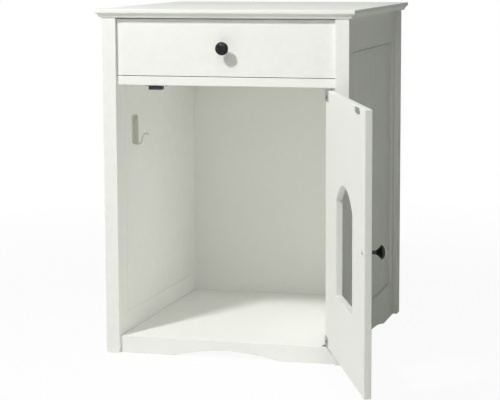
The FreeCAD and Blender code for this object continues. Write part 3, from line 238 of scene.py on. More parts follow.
def round_corners(loop: Loop, radius: float, steps: int = 3, sharper: float = 25.0) -> Loop:
    """Rounds the corners of a closed outline.

    Args:
        loop: The outline.
        radius: Corner radius.
        steps: Spans in each rounded corner.
        sharper: Only turns above this many degrees are rounded.

    Returns:
        The outline with an arc in place of each sharp corner.
    """
    rounded: Loop = []
    for i, here in enumerate(loop):
        p = Vector(here)
        to_last = Vector(loop[i - 1]) - p
        to_next = Vector(loop[(i + 1) % len(loop)]) - p
        opening = to_last.angle(to_next)
        if math.degrees(math.pi - opening) < sharper:
            rounded.append(here)
            continue
        to_last.normalize()
        to_next.normalize()
        cut = radius / math.tan(opening / 2)
        centre = p + (to_last + to_next).normalized() * (radius / math.sin(opening / 2))
        start, end = p + to_last * cut - centre, p + to_next * cut - centre
        rounded += [tuple(centre + start.lerp(end, k / steps).normalized() * radius)
                    for k in range(steps + 1)]
    return rounded


def scalloped(left: float, right: float, top: float, half: float, rise: float,
              ease: float) -> Loop:
    """The outline of a board that stands on zero, its lower edge cut to a long shallow curve.

    Args:
        left: The board's left end.
        right: Its right end.
        top: Its upper edge.
        half: Half the width of the curve.
        rise: Height of the curve.
        ease: Radius of the rounded corners.

    Returns:
        The outline, anticlockwise.
    """
    middle = (left + right) / 2
    curve = arc_through((middle - half, 0.0), (middle + half, 0.0), rise, 28)
    outline = [(left, 0.0), *curve, (right, 0.0), (right, top), (left, top)]
    return round_corners(outline, ease, 2, 60.0)


def set_in(loop: Loop, amount: float) -> Loop:
    """Moves an outline to its left, which is into the board for the way the outlines run.

    Args:
        loop: Anticlockwise outer edge or clockwise hole.
        amount: How far each edge moves.

    Returns:
        The moved outline.
    """
    moved: Loop = []
    for i, here in enumerate(loop):
        p, before, after = Vector(here), Vector(loop[i - 1]), Vector(loop[(i + 1) % len(loop)])
        way_in, way_out = (p - before).normalized(), (after - p).normalized()
        left_in, left_out = Vector((-way_in.y, way_in.x)), Vector((-way_out.y, way_out.x))
        bisector = (left_in + left_out).normalized()
        moved.append(tuple(p + bisector * (amount / max(0.3, bisector.dot(left_out)))))
    return moved


def smooth_path(bends: Sequence[Vector], steps: int) -> list[Vector]:
    """A rounded path through a few points.

    Args:
        bends: The points that it passes.
        steps: Spans from each point to the next.

    Returns:
        The points along the path, both ends included.
    """
    ends = [bends[0] * 2 - bends[1], *bends, bends[-1] * 2 - bends[-2]]
    path = []
    for a, b, c, d in zip(ends, ends[1:], ends[2:], ends[3:]):
        pull_in, pull_out = (c - a) / 6, (d - b) / 6
        path += interpolate_bezier(b, b + pull_in, c - pull_out, c, steps + 1)[:-1]
    return [*path, bends[-1]]


# ---- making meshes -------------------------------------------------------------------------


def axes(origin: Sequence[float], u: Sequence[float], v: Sequence[float]) -> Matrix:
    """The placement whose first two axes are u and v and whose third is across both.

    Args:
        origin: Where the drawing's own origin goes.
        u: Direction of the drawing's first axis.
        v: Direction of its second axis.

    Returns:
        A 4x4 matrix.
    """
    first, second = Vector(u), Vector(v)
    turn = Matrix((first, second, first.cross(second))).transposed()
    return Matrix.Translation(Vector(origin)) @ turn.to_4x4()


def facing(place: Sequence[float], outward: Sequence[float]) -> Matrix:
    """Stands the third axis along outward at a place."""
    turn = Vector(outward).to_track_quat("Z", "Y").to_matrix().to_4x4()
    return Matrix.Translation(Vector(place)) @ turn


def placed(work: Work, place: Matrix) -> Work:
    """Moves a mesh to its place and hands it back."""
    work.transform(place)
    return work


def stand(name: str, work: Work) -> Thing:
    """Stands a finished mesh in the scene as an object of that name."""
    mesh = bpy.data.meshes.new(name)
    work.to_mesh(mesh)
    work.free()
    thing = bpy.data.objects.new(name, mesh)
    bpy.context.scene.collection.objects.link(thing)
    return thing


def bridge(work: Work, lower: list, upper: list) -> None:
    """Joins two closed rings of points, as many in each, with four-sided faces."""
    for corners in zip(lower, lower[1:] + lower[:1], upper[1:] + upper[:1], upper):
        work.faces.new(corners)


def cap(work: Work, rings: list[list], upward: bool) -> None:
    """Closes one end of a slab, holes included.

    Args:
        work: Mesh that is being made.
        rings: The outer ring and then the holes' rings.
        upward: Whether the end faces along the third axis.
    """
    points = [p for ring in rings for p in ring]
    for tri in tessellate_polygon([[p.co for p in ring] for ring in rings]):
        corners = [points[i] for i in tri]
        a, b, c = (p.co for p in corners)
        if ((b - a).cross(c - a).z > 0) != upward:
            corners.reverse()
        work.faces.new(corners)


def slab(outer: Loop, depth: float, ease: float, holes: Sequence[Loop] = (),
         steps: int = 3) -> Work:
    """A board cut to an outline, with all of its long edges rounded over.

    Args:
        outer: Anticlockwise outline.
        depth: Thickness along the third axis.
        ease: Radius of the rounded edges.
        holes: Clockwise outlines of openings.
        steps: Spans in each rounded edge.

    Returns:
        The mesh, with its first face at zero.
    """
    work = bmesh.new()
    turns = [math.pi / 2 * i / steps for i in range(steps + 1)]
    lower = [(ease * (1 - math.sin(t)), ease * (1 - math.cos(t))) for t in turns]
    levels = lower + [(inset, depth - height) for inset, height in reversed(lower)]
    first_rings, last_rings = [], []
    for loop in (outer, *holes):
        rings = [[work.verts.new((x, y, height)) for x, y in set_in(loop, inset)]
                 for inset, height in levels]
        for first, second in zip(rings, rings[1:]):
            bridge(work, first, second)
        first_rings.append(rings[0])
        last_rings.append(rings[-1])
    cap(work, first_rings, False)
    cap(work, last_rings, True)
    return work


def board(low: Sequence[float], high: Sequence[float], ease: float) -> Work:
    """A plain board between two corners, with every edge and corner rounded.

    Args:
        low: Lowest corner.
        high: Highest corner.
        ease: Radius of the edges.

    Returns:
        The mesh, in place.
    """
    size = [b - a for a, b in zip(low, high)]
    along = size.index(max(size))
    u, v = (along + 1) % 3, (along + 2) % 3
    outline = round_corners(rectangle(0.0, size[u], 0.0, size[v]), ease)
    units = Matrix.Identity(3)
    return placed(slab(outline, size[along], ease), axes(low, units[u], units[v]))


def turned(profile: Sequence[Point2], segments: int) -> Work:
    """A turned piece about the third axis.

    Args:
        profile: Radius and height of each point, from the foot to the face; the two end
            points lie on the axis.
        segments: Points round the axis.

    Returns:
        The closed mesh.
    """
    work = bmesh.new()
    foot, *walls, face = [
        [work.verts.new((x, y, height)) for x, y in circle(0.0, 0.0, radius, segments)]
        if radius else [work.verts.new((0.0, 0.0, height))]
        for radius, height in profile]
    for lower, upper in zip(walls, walls[1:]):
        bridge(work, lower, upper)
    for a, b in zip(walls[0], walls[0][1:] + walls[0][:1]):
        work.faces.new((foot[0], b, a))
    for a, b in zip(walls[-1], walls[-1][1:] + walls[-1][:1]):
        work.faces.new((a, b, face[0]))
    bmesh.ops.recalc_face_normals(work, faces=work.faces)
    return work


def wire(path: Sequence[Vector], radius: float, segments: int = 20) -> Work:
    """A round wire along a path, with domed ends.

    Args:
        path: Points along the wire's middle.
        radius: Radius of the wire.
        segments: Points round the wire.

    Returns:
        The closed mesh.
    """
    work = bmesh.new()
    ways = [(b - a).normalized() for a, b in zip(path, path[1:])]
    tangents = [ways[0]] + [(a + b).normalized() for a, b in zip(ways, ways[1:])] + [ways[-1]]
    dome = [(radius * math.sin(t), radius * math.cos(t)) for t in radians(75, 50, 25)]
    stops = [(path[0] - ways[0] * out, ways[0], size) for out, size in dome]
    stops += [(point, tangent, radius) for point, tangent in zip(path, tangents)]
    stops += [(path[-1] + ways[-1] * out, ways[-1], size) for out, size in reversed(dome)]
    side = ways[0].orthogonal().normalized()
    rings: list[list] = []
    for centre, tangent, size in stops:
        side = (side - tangent * side.dot(tangent)).normalized()
        up = tangent.cross(side)
        rings.append([work.verts.new(centre + (side * x + up * y) * size)
                      for x, y in circle(0.0, 0.0, 1.0, segments)])
    for lower, upper in zip(rings, rings[1:]):
        bridge(work, lower, upper)
    work.faces.new(rings[0][::-1])
    work.faces.new(rings[-1])
    bmesh.ops.recalc_face_normals(work, faces=work.faces)
    return work


def merged(parts: Iterable[Work]) -> Work:
    """Several closed meshes as one, in the order given."""
    whole = bmesh.new()
    for part in parts:
        scratch = bpy.data.meshes.new("joining")
        part.to_mesh(scratch)
        part.free()
        whole.from_mesh(scratch)
        bpy.data.meshes.remove(scratch)
    return whole


def copies(part: Work, places: Iterable[Matrix]) -> Work:
    """The same mesh at several places, as one mesh."""
    parts = [placed(part.copy(), place) for place in places]
    part.free()
    return merged(parts)


def cut_away(body: Work, tool: Work) -> Work:
    """Cuts one closed mesh out of another with the boolean modifier.

    Args:
        body: What is cut.
        tool: What is taken away.

    Returns:
        The cut mesh.
    """
    holders = [stand("cut_body", body), stand("cut_tool", tool)]
    cutter = holders[0].modifiers.new("cut", "BOOLEAN")
    cutter.operation = "DIFFERENCE"
    cutter.solver = "EXACT"
    cutter.object = holders[1]
    shown = holders[0].evaluated_get(bpy.context.evaluated_depsgraph_get())
    result = bmesh.new()
    result.from_mesh(shown.to_mesh())
    shown.to_mesh_clear()
    for holder in holders:
        mesh = holder.data
        bpy.data.objects.remove(holder)
        bpy.data.meshes.remove(mesh)
    return result


# ---- screws --------------------------------------------------------------------------------


@dataclass(frozen=True)
class Screw:
    """A cross-recess screw, its head along the third axis and its point below zero."""

    head_radius: float = 3.0 * MM
    head_height: float = 1.6 * MM
    shank_radius: float = 1.5 * MM
    length: float = 9.0 * MM
    pitch: float = 1.1 * MM
    sunk: bool = False
    recess_long: float = 3.4 * MM
    recess_wide: float = 0.75 * MM
    recess_deep: float = 0.9 * MM
    recess_taper: float = 0.72
    recess_ease: float = 0.02 * MM
    sunk_crown: float = 0.02 * MM
    core_share: float = 0.78
    segments: int = 40

    def head(self) -> list[Point2]:
        """Profile of the head, from its edge on the seat to the middle of its crown."""
        rim = self.head_radius
        if self.sunk:
            return [(rim - 0.12 * MM, -0.1 * MM), (rim, -0.02 * MM), (rim - 0.15 * MM, 0.0),
                    (rim * 0.5, self.sunk_crown), (0.0, self.sunk_crown)]
        dome = [(rim * math.cos(t), self.head_height * math.sin(t) ** 0.8)
                for t in radians(8, 20, 32, 44, 56, 68, 80)]
        return [(rim * 0.97, 0.0)] + dome + [(0.0, self.head_height)]

    def shank(self) -> list[Point2]:
        """Profile of the threaded shank, from its point up to the head."""
        outer, pitch = self.shank_radius, self.pitch
        core = outer * self.core_share
        profile: list[Point2] = [(0.0, -self.length), (core * 0.35, -self.length + 0.5 * MM)]
        height = -self.length + 1.5 * MM
        while height < -pitch * 1.6:
            profile += [(core, height), (outer, height + pitch * 0.3),
                        (outer, height + pitch * 0.4), (core, height + pitch * 0.75)]
            height += pitch
        neck = -1.2 * MM if self.sunk else 0.0
        return profile + [(outer * 0.98, neck - 0.3 * MM), (outer, neck)]

    def build(self) -> Work:
        """The whole screw with its cross recess."""
        whole = turned(self.shank() + self.head(), self.segments)
        long, wide = self.recess_long / 2, self.recess_wide / 2
        cross = [(long, -wide), (long, wide), (wide, wide), (wide, long), (-wide, long),
                 (-wide, wide), (-long, wide), (-long, -wide), (-wide, -wide), (-wide, -long),
                 (wide, -long), (wide, -wide)]
        crown = self.sunk_crown if self.sunk else self.head_height
        recess = slab(cross, self.recess_deep * 2, self.recess_ease, steps=1)
        for point in recess.verts:
            if point.co.z < self.recess_deep:
                point.co.xy *= self.recess_taper
        lift = Matrix.Translation((0.0, 0.0, crown - self.recess_deep))
        return cut_away(whole, placed(recess, lift))


# ---- shader effects ------------------------------------------------------------------------


class Bench:
    """Adds and joins nodes in one node tree."""

    def __init__(self, tree: Tree) -> None:
        """Works on the given tree."""
        self.tree = tree

    def add(self, kind: str, settings: dict | None = None, **inputs: object) -> Node:
        """Adds a node.

        Args:
            kind: The node's type name.
            settings: Its properties.
            **inputs: Values or outputs for its sockets, by name with spaces as underscores.

        Returns:
            The new node.
        """
        node = self.tree.nodes.new(kind)
        for name, value in (settings or {}).items():
            setattr(node, name, value)
        for name, value in inputs.items():
            self.feed(node.inputs[name.replace("_", " ")], value)
        return node

    def feed(self, socket: Socket, value: object) -> None:
        """Sets a socket to a value or a colour, or joins it to an output."""
        if isinstance(value, Socket):
            self.tree.links.new(value, socket)
        else:
            socket.default_value = (*value, 1.0) if socket.type == "RGBA" else value

    def where(self) -> Socket:
        """The place on the object."""
        return self.add("ShaderNodeTexCoord").outputs["Object"]

    def drawn_out(self, where: Socket, shares: Point3) -> Socket:
        """The place with each axis scaled, which draws a pattern out along the small ones."""
        return self.add("ShaderNodeMapping", Vector=where, Scale=shares).outputs[0]

    def noise(self, where: Socket, scale: object, detail: float = 2.0,
              roughness: float = 0.5) -> Socket:
        """A noise value over the surface."""
        return self.add("ShaderNodeTexNoise", Vector=where, Scale=scale, Detail=detail,
                        Roughness=roughness).outputs["Fac"]

    def sum(self, how: str, first: object, second: object) -> Socket:
        """One step of arithmetic."""
        node = self.add("ShaderNodeMath", {"operation": how})
        self.feed(node.inputs[0], first)
        self.feed(node.inputs[1], second)
        return node.outputs[0]

    def span(self, value: object, low: object, high: object, to_low: object,
             to_high: object) -> Socket:
        """Maps low…high of a value onto another range, and holds it there."""
        return self.add("ShaderNodeMapRange", Value=value, From_Min=low, From_Max=high,
                        To_Min=to_low, To_Max=to_high).outputs[0]

    def blend(self, share: object, first: object, second: object) -> Socket:
        """Mixes two colours by a mask."""
        node = self.add("ShaderNodeMix", {"data_type": "RGBA"})
        for number, value in ((0, share), (6, first), (7, second)):
            self.feed(node.inputs[number], value)
        return node.outputs[2]


class Effects:
    """The shader node groups that several finishes share, each built once."""

    def __init__(self) -> None:
        """Builds all of the groups."""
        self.film = self.paint_film()
        self.edges = self.edge_wear()
        self.grain = self.wood_grain()
        self.brushing = self.brushed_lines()
        self.handling = self.handling_marks()

    @staticmethod
    def group(name: str, takes: dict[str, float],
              gives: Sequence[str]) -> tuple[Bench, bpy.types.NodeOutputs,
                                             bpy.types.NodeInputs]:
        """Starts a node group with named number sockets.

        Args:
            name: The group's name.
            takes: Input names and their first values.
            gives: Output names.

        Returns:
            The group's bench, what comes in and what goes out.
        """
        tree = bpy.data.node_groups.new(name, "ShaderNodeTree")
        for label, value in takes.items():
            tree.interface.new_socket(label, in_out="INPUT",
                                      socket_type="NodeSocketFloat").default_value = value
        for label in gives:
            tree.interface.new_socket(label, in_out="OUTPUT", socket_type="NodeSocketFloat")
        bench = Bench(tree)
        return bench, bench.add("NodeGroupInput").outputs, bench.add("NodeGroupOutput").inputs

    def paint_film(self) -> Tree:
        """Sprayed paint: fine orange peel, slow changes of tone, and patches of more sheen."""
        bench, takes, gives = self.group(
            "paint_film", {"Peel scale": 650.0, "Tone scale": 7.0}, ("Height", "Tone", "Sheen"))
        where = bench.where()
        peel = bench.noise(where, takes["Peel scale"], 1.0)
        fibre = bench.sum("MULTIPLY", bench.noise(where, 2400.0, 3.0, 0.65), 0.25)
        nibs = bench.add("ShaderNodeTexVoronoi", {"feature": "F1"}, Vector=where, Scale=70.0)
        nib = bench.span(nibs.outputs["Distance"], 0.03, 0.07, 0.35, 0.0)
        bench.feed(gives["Height"], bench.sum("ADD", bench.sum("ADD", peel, fibre), nib))
        bench.feed(gives["Tone"], bench.noise(where, takes["Tone scale"], 4.0, 0.6))
        bench.feed(gives["Sheen"], bench.noise(where, 38.0, 3.0))
        return bench.tree

    def edge_wear(self) -> Tree:
        """A mask of the rubbed outer edges, broken up along their length."""
        bench, takes, gives = self.group(
            "edge_wear", {"Start": 0.52, "Full": 0.6, "Breakup scale": 60.0}, ("Mask",))
        sharp = bench.add("ShaderNodeNewGeometry").outputs["Pointiness"]
        ramp = bench.span(sharp, takes["Start"], takes["Full"], 0.0, 1.0)
        broken = bench.noise(bench.where(), takes["Breakup scale"], 4.0, 0.7)
        patches = bench.span(broken, 0.42, 0.62, 0.15, 1.0)
        bench.feed(gives["Mask"], bench.sum("MULTIPLY", ramp, patches))
        return bench.tree

    def wood_grain(self) -> Tree:
        """Beech along Y: soft year rings, short dark flecks and open pores."""
        bench, takes, gives = self.group(
            "wood_grain", {"Ring scale": 55.0, "Fleck scale": 420.0},
            ("Rings", "Flecks", "Height"))
        where = bench.where()
        rings = bench.noise(bench.drawn_out(where, (1.0, 0.09, 1.0)), takes["Ring scale"],
                            3.0, 0.55)
        flecks = bench.noise(bench.drawn_out(where, (1.0, 0.14, 1.0)), takes["Fleck scale"])
        mask = bench.span(flecks, 0.6, 0.68, 0.0, 1.0)
        bench.feed(gives["Rings"], bench.span(rings, *SOFT_BAND, 0.0, 1.0))
        bench.feed(gives["Flecks"], mask)
        bench.feed(gives["Height"], bench.sum("SUBTRACT", rings, mask))
        return bench.tree

    def brushed_lines(self) -> Tree:
        """Rolled or brushed steel: fine lines along X and Y, and slow patches."""
        bench, takes, gives = self.group(
            "brushed_lines", {"Line scale": 1600.0, "Patch scale": 90.0}, ("Height", "Patches"))
        where = bench.where()
        lines = bench.drawn_out(where, (0.08, 0.08, 1.0))
        bench.feed(gives["Height"], bench.noise(lines, takes["Line scale"]))
        bench.feed(gives["Patches"], bench.noise(where, takes["Patch scale"], 4.0, 0.6))
        return bench.tree

    def handling_marks(self) -> Tree:
        """Faint smudges and fine grain from handling."""
        bench, takes, gives = self.group(
            "handling_marks", {"Smudge scale": 120.0, "Grain scale": 2200.0},
            ("Smudges", "Grain"))
        where = bench.where()
        smudge = bench.noise(where, takes["Smudge scale"], 3.0, 0.6)
        bench.feed(gives["Smudges"], bench.span(smudge, 0.4, 0.65, 0.0, 1.0))
        bench.feed(gives["Grain"], bench.noise(where, takes["Grain scale"]))
        return bench.tree


# ---- finishes ------------------------------------------------------------------------------


@dataclass(frozen=True)
class Finish:
    """What every finish has: its slot, its plain or painted-shade copy and its own Principled
    shader.
    """

    slot: Slot = Slot.LACQUER
    wear: Wear = Wear.FRESH

    def start(self, **sockets: float) -> tuple[Material, Bench, Node]:
        """Starts the material.

        Args:
            **sockets: Values that are the same all over, set on the shader's own sockets.

        Returns:
            The material, its bench and its shader.
        """
        material = bpy.data.materials.new(f"finish_{self.slot.value}{self.wear.value}")
        material.use_nodes = True
        shader = material.node_tree.nodes["Principled BSDF"]
        for name, value in sockets.items():
            shader.inputs[name.replace("_", " ")].default_value = value
        return material, Bench(material.node_tree), shader

    @staticmethod
    def effect(bench: Bench, tree: Tree, **values: float) -> Node:
        """Places one of the shared effects with its own values."""
        return bench.add("ShaderNodeGroup", {"node_tree": tree}, **values)

    @staticmethod
    def complete(bench: Bench, shader: Node, colour: Socket,
                 roughness: Socket, height: Socket,
                 relief: Point2) -> None:
        """Feeds the shader's colour, roughness and normal.

        Args:
            bench: The material's bench.
            shader: Its Principled shader.
            colour: What gives the base colour.
            roughness: What gives the roughness.
            height: What raises the surface.
            relief: Strength of the height, and its depth in metres.
        """
        bump = bench.add("ShaderNodeBump", Strength=relief[0], Distance=relief[1],
                         Height=height)
        bench.feed(shader.inputs["Base Color"], colour)
        bench.feed(shader.inputs["Roughness"], roughness)
        bench.feed(shader.inputs["Normal"], bump.outputs[0])


@dataclass(frozen=True)
class Lacquer(Finish):
    """Satin white paint on smooth board."""

    tone: Colour = (0.912, 0.919, 0.884)
    deep_tone: Colour = (0.896, 0.903, 0.866)
    edge_tone: Colour = (0.85, 0.84, 0.79)
    edge_share: float = 0.35
    roughness: Point2 = (0.42, 0.52)
    relief: Point2 = (0.12, 0.00008)

    def build(self, effects: Effects) -> Material:
        """The painted surface's material."""
        material, bench, shader = self.start(Specular_IOR_Level=0.05)
        film = self.effect(bench, effects.film).outputs
        worn = self.effect(bench, effects.edges).outputs
        field_tone = bench.blend(bench.span(film["Tone"], *SOFT_BAND, 0.0, 1.0), self.tone,
                                 self.deep_tone)
        rubbed = bench.sum("MULTIPLY", worn["Mask"], self.edge_share)
        self.complete(bench, shader, bench.blend(rubbed, field_tone, self.edge_tone),
                      bench.span(film["Sheen"], *SOFT_BAND, *self.roughness), film["Height"],
                      self.relief)
        return material


@dataclass(frozen=True)
class Beech(Finish):
    """Bare beech, for the runners, stops and dowels."""

    slot: Slot = Slot.BEECH
    light: Colour = (0.66, 0.45, 0.27)
    dark: Colour = (0.50, 0.31, 0.17)
    fleck: Colour = (0.30, 0.16, 0.08)
    fleck_share: float = 0.7
    roughness: Point2 = (0.5, 0.62)
    relief: Point2 = (0.3, 0.0002)

    def build(self, effects: Effects) -> Material:
        """The wood's material."""
        material, bench, shader = self.start(Specular_IOR_Level=0.35)
        grain = self.effect(bench, effects.grain).outputs
        rings = bench.blend(grain["Rings"], self.light, self.dark)
        flecks = bench.sum("MULTIPLY", grain["Flecks"], self.fleck_share)
        self.complete(bench, shader, bench.blend(flecks, rings, self.fleck),
                      bench.span(grain["Rings"], 0.0, 1.0, *self.roughness), grain["Height"],
                      self.relief)
        return material


@dataclass(frozen=True)
class DarkChrome(Finish):
    """Near-black polished plating of the knobs."""

    slot: Slot = Slot.DARK_CHROME
    tone: Colour = (0.024, 0.024, 0.025)
    smudged: Colour = (0.036, 0.036, 0.037)
    smudge_scale: float = 160.0
    roughness: Point2 = (0.07, 0.13)
    relief: Point2 = (0.03, 0.00002)

    def build(self, effects: Effects) -> Material:
        """The plating's material."""
        material, bench, shader = self.start(Metallic=1.0)
        marks = self.effect(bench, effects.handling, Smudge_scale=self.smudge_scale).outputs
        self.complete(bench, shader, bench.blend(marks["Smudges"], self.tone, self.smudged),
                      bench.span(marks["Smudges"], 0.0, 1.0, *self.roughness), marks["Grain"],
                      self.relief)
        return material


@dataclass(frozen=True)
class Steel(Finish):
    """Plated sheet steel or wire."""

    slot: Slot = Slot.ZINC
    tone: Colour = (0.48, 0.48, 0.45)
    patch: Colour = (0.40, 0.40, 0.37)
    edge: Colour = (0.62, 0.62, 0.60)
    roughness: Point2 = (0.30, 0.44)
    patch_band: Point2 = (0.35, 0.65)
    edge_share: float = 0.6
    relief: Point2 = (0.15, 0.00004)

    def build(self, effects: Effects) -> Material:
        """The steel's material."""
        material, bench, shader = self.start(Metallic=1.0)
        lines = self.effect(bench, effects.brushing).outputs
        worn = self.effect(bench, effects.edges, Start=0.51, Full=0.58, Breakup_scale=300.0)
        patches = bench.span(lines["Patches"], *self.patch_band, 0.0, 1.0)
        skin = bench.blend(patches, self.tone, self.patch)
        rubbed = bench.sum("MULTIPLY", worn.outputs["Mask"], self.edge_share)
        self.complete(bench, shader, bench.blend(rubbed, skin, self.edge),
                      bench.span(lines["Patches"], *SOFT_BAND, *self.roughness),
                      lines["Height"], self.relief)
        return material


@dataclass(frozen=True)
class Moulded(Finish):
    """Plain moulded plastic: the catch housing or the hinge washer."""

    slot: Slot = Slot.PLASTIC
    tone: Colour = (0.018, 0.018, 0.017)
    rubbed: Colour = (0.05, 0.05, 0.048)
    roughness: Point2 = (0.38, 0.55)
    relief: Point2 = (0.2, 0.00005)

    def build(self, effects: Effects) -> Material:
        """The plastic's material."""
        material, bench, shader = self.start(Specular_IOR_Level=0.45)
        marks = self.effect(bench, effects.handling, Grain_scale=3200.0).outputs
        worn = self.effect(bench, effects.edges, Breakup_scale=400.0).outputs
        self.complete(bench, shader, bench.blend(worn["Mask"], self.tone, self.rubbed),
                      bench.span(marks["Smudges"], 0.0, 1.0, *self.roughness), marks["Grain"],
                      self.relief)
        return material


FINISHES: tuple[Finish, ...] = (
    Lacquer(),
    Beech(),
    DarkChrome(),
    Steel(),
    # A darker copy of the zinc steel for the screws: painted shade that makes them darker than
    # the plates they hold.
    Steel(Slot.ZINC, Wear.DULL, (0.17, 0.17, 0.16), (0.11, 0.11, 0.10), (0.27, 0.27, 0.26),
          (0.5, 0.66)),
    Steel(Slot.NICKEL, Wear.FRESH, (0.60, 0.60, 0.53), (0.55, 0.55, 0.48),
          (0.70, 0.70, 0.64), (0.32, 0.4)),
    Steel(Slot.MAGNET, Wear.FRESH, (0.07, 0.07, 0.07), (0.05, 0.05, 0.05),
          (0.12, 0.12, 0.12), (0.42, 0.6)),
    Moulded(),
    Moulded(Slot.NYLON, Wear.FRESH, (0.74, 0.73, 0.68), (0.80, 0.79, 0.75), (0.35, 0.5)),
)


# ---- the workshop --------------------------------------------------------------------------


class Workshop:
    """Turns meshes into finished pieces and dresses the nodes that are kept as they are.

    Points closer than weld_reach are joined; edges that turn by more than eased_turn, in
    degrees, are eased.
    """

    weld_reach = 1e-6
    eased_turn = 32.0

    def __init__(self) -> None:
        """Builds the effects and then each finish once."""
        effects = Effects()
        self.materials = {(finish.slot, finish.wear): finish.build(effects)
                          for finish in FINISHES}

    def piece(self, name: str, work: Work, body: Body = Body.CASE,
              slot: Slot = Slot.LACQUER, crisp: Crisp = Crisp.BOARD,
              wear: Wear = Wear.FRESH, node: str = "") -> None:
        """Makes a piece from a mesh, finishes it and sets it on its body.

        Args:
            name: The piece's name: its node's name and a word for how it is made.
            work: Its mesh, in place and at rest.
            body: The body that carries it.
            slot: Its finish.
            crisp: Which of its edges stay crisp.
            wear: Whether its finish is the plain one or the darker copy that paints shade.
            node: The node that it takes the place of, where its name doesn't say so.
        """
        thing = stand(name, work)
        thing.data.materials.append(self.materials[slot, wear])
        self.smooth(thing, crisp)
        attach(thing, body.value)
        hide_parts(node or name.rpartition("_")[0])
        LOG.info("made %s on %s", name, body.value)

    @staticmethod
    def smooth(thing: Thing, crisp: Crisp) -> None:
        """Shades a mesh smooth up to an angle, with its large faces kept flat."""
        mesh = thing.data
        mesh.polygons.foreach_set("use_smooth", [True] * len(mesh.polygons))
        mesh.set_sharp_from_angle(angle=math.radians(crisp.value))
        normals = thing.modifiers.new("flat_faces", "WEIGHTED_NORMAL")
        normals.keep_sharp = True
        normals.weight = 100

    def keep(self, slot: Slot, *names: str, ease: float = 0.0) -> None:
        """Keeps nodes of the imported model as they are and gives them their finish.

        Args:
            slot: The finish.
            *names: The nodes.
            ease: Radius of the bevel that softens their edges, or none.
        """
        for name in names:
            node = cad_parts[name]
            node.data.materials.clear()
            node.data.materials.append(self.materials[slot, Wear.FRESH])
            node.modifiers.new("weld", "WELD").merge_threshold = self.weld_reach
            if ease:
                soften = node.modifiers.new("soft_edges", "BEVEL")
                soften.width = ease
                soften.segments = 2
                soften.limit_method = "ANGLE"
                soften.angle_limit = math.radians(self.eased_turn)
                soften.use_clamp_overlap = True
            self.smooth(node, Crisp.BOARD)
            LOG.info("kept %s", name)


# ---- sub-assemblies ------------------------------------------------------------------------


@dataclass
class TopBoard:
    """The moulded top: a lip over a hollow cove on the front and both sides."""

    shop: Workshop
    half_width: float = 0.241
    half_depth: float = 0.260
    lip_height: float = 6.4 * MM
    lip_round: float = 1.5 * MM
    lip_steps: int = 4
    cove_run: float = 7.0 * MM
    cove_radius: float = 14.0 * MM
    cove_steps: int = 8
    arris: float = 0.5 * MM
    back_share: float = 0.6
    corner: float = 1.6 * MM

    def profile(self) -> list[tuple[float, float, float]]:
        """Set-in of the moulded edges, set-in of the back edge, and height, from below."""
        foot, lip = LEVELS.top_underside, LEVELS.top - self.lip_height
        run, small, steps = self.cove_run, self.arris, self.cove_steps
        chord = Vector((-run, lip - foot))
        sag = self.cove_radius - math.sqrt(self.cove_radius ** 2 - chord.length_squared / 4)
        cove = arc_through((run, foot), (0.0, lip), -sag, steps)
        rows = [(run + small, small, foot), (run, small * 0.3, foot + 0.2 * MM)]
        rows += [(cove[i][0], small * (1 - i / steps), cove[i][1]) for i in range(1, steps)]
        rows += [(small, 0.0, lip - 0.1 * MM), (0.1 * MM, 0.0, lip + 0.15 * MM),
                 (0.0, 0.0, lip + small)]
        for i in range(self.lip_steps + 1):
            turn = math.radians(90 * i / self.lip_steps)
            inset = self.lip_round * (1 - math.cos(turn))
            rows.append((inset, inset * self.back_share,
                         LEVELS.top - self.lip_round * (1 - math.sin(turn))))
        return rows

    def build(self) -> None:
        """Lofts the moulded board from its profile."""
        work = bmesh.new()
        rings = []
        for inset, back, height in self.profile():
            outline = round_corners(
                rectangle(inset - self.half_width, self.half_width - inset,
                          inset - self.half_depth, self.half_depth - back), self.corner, 4)
            rings.append([work.verts.new((x, y, height)) for x, y in outline])
        for lower, upper in zip(rings, rings[1:]):
            bridge(work, lower, upper)
        cap(work, [rings[0]], False)
        cap(work, [rings[-1]], True)
        self.shop.piece("top_board_moulded", work, crisp=Crisp.TURNED)


@dataclass
class Posts:
    """Four square posts that are also the feet."""

    shop: Workshop
    ease: float = 0.5 * MM

    def build(self) -> None:
        """Makes the front and the rear pair."""
        for end, y in (("front", LEVELS.case_front), ("rear", LEVELS.frame_back)):
            for side in Side:
                x = sorted((side.value * LEVELS.inner_right, side.value * LEVELS.case_right))
                post = board((x[0], y, 0.0), (x[1], y + LEVELS.post, LEVELS.top_underside),
                             self.ease)
                self.shop.piece(f"{end}_post_{side.word}_eased", post)


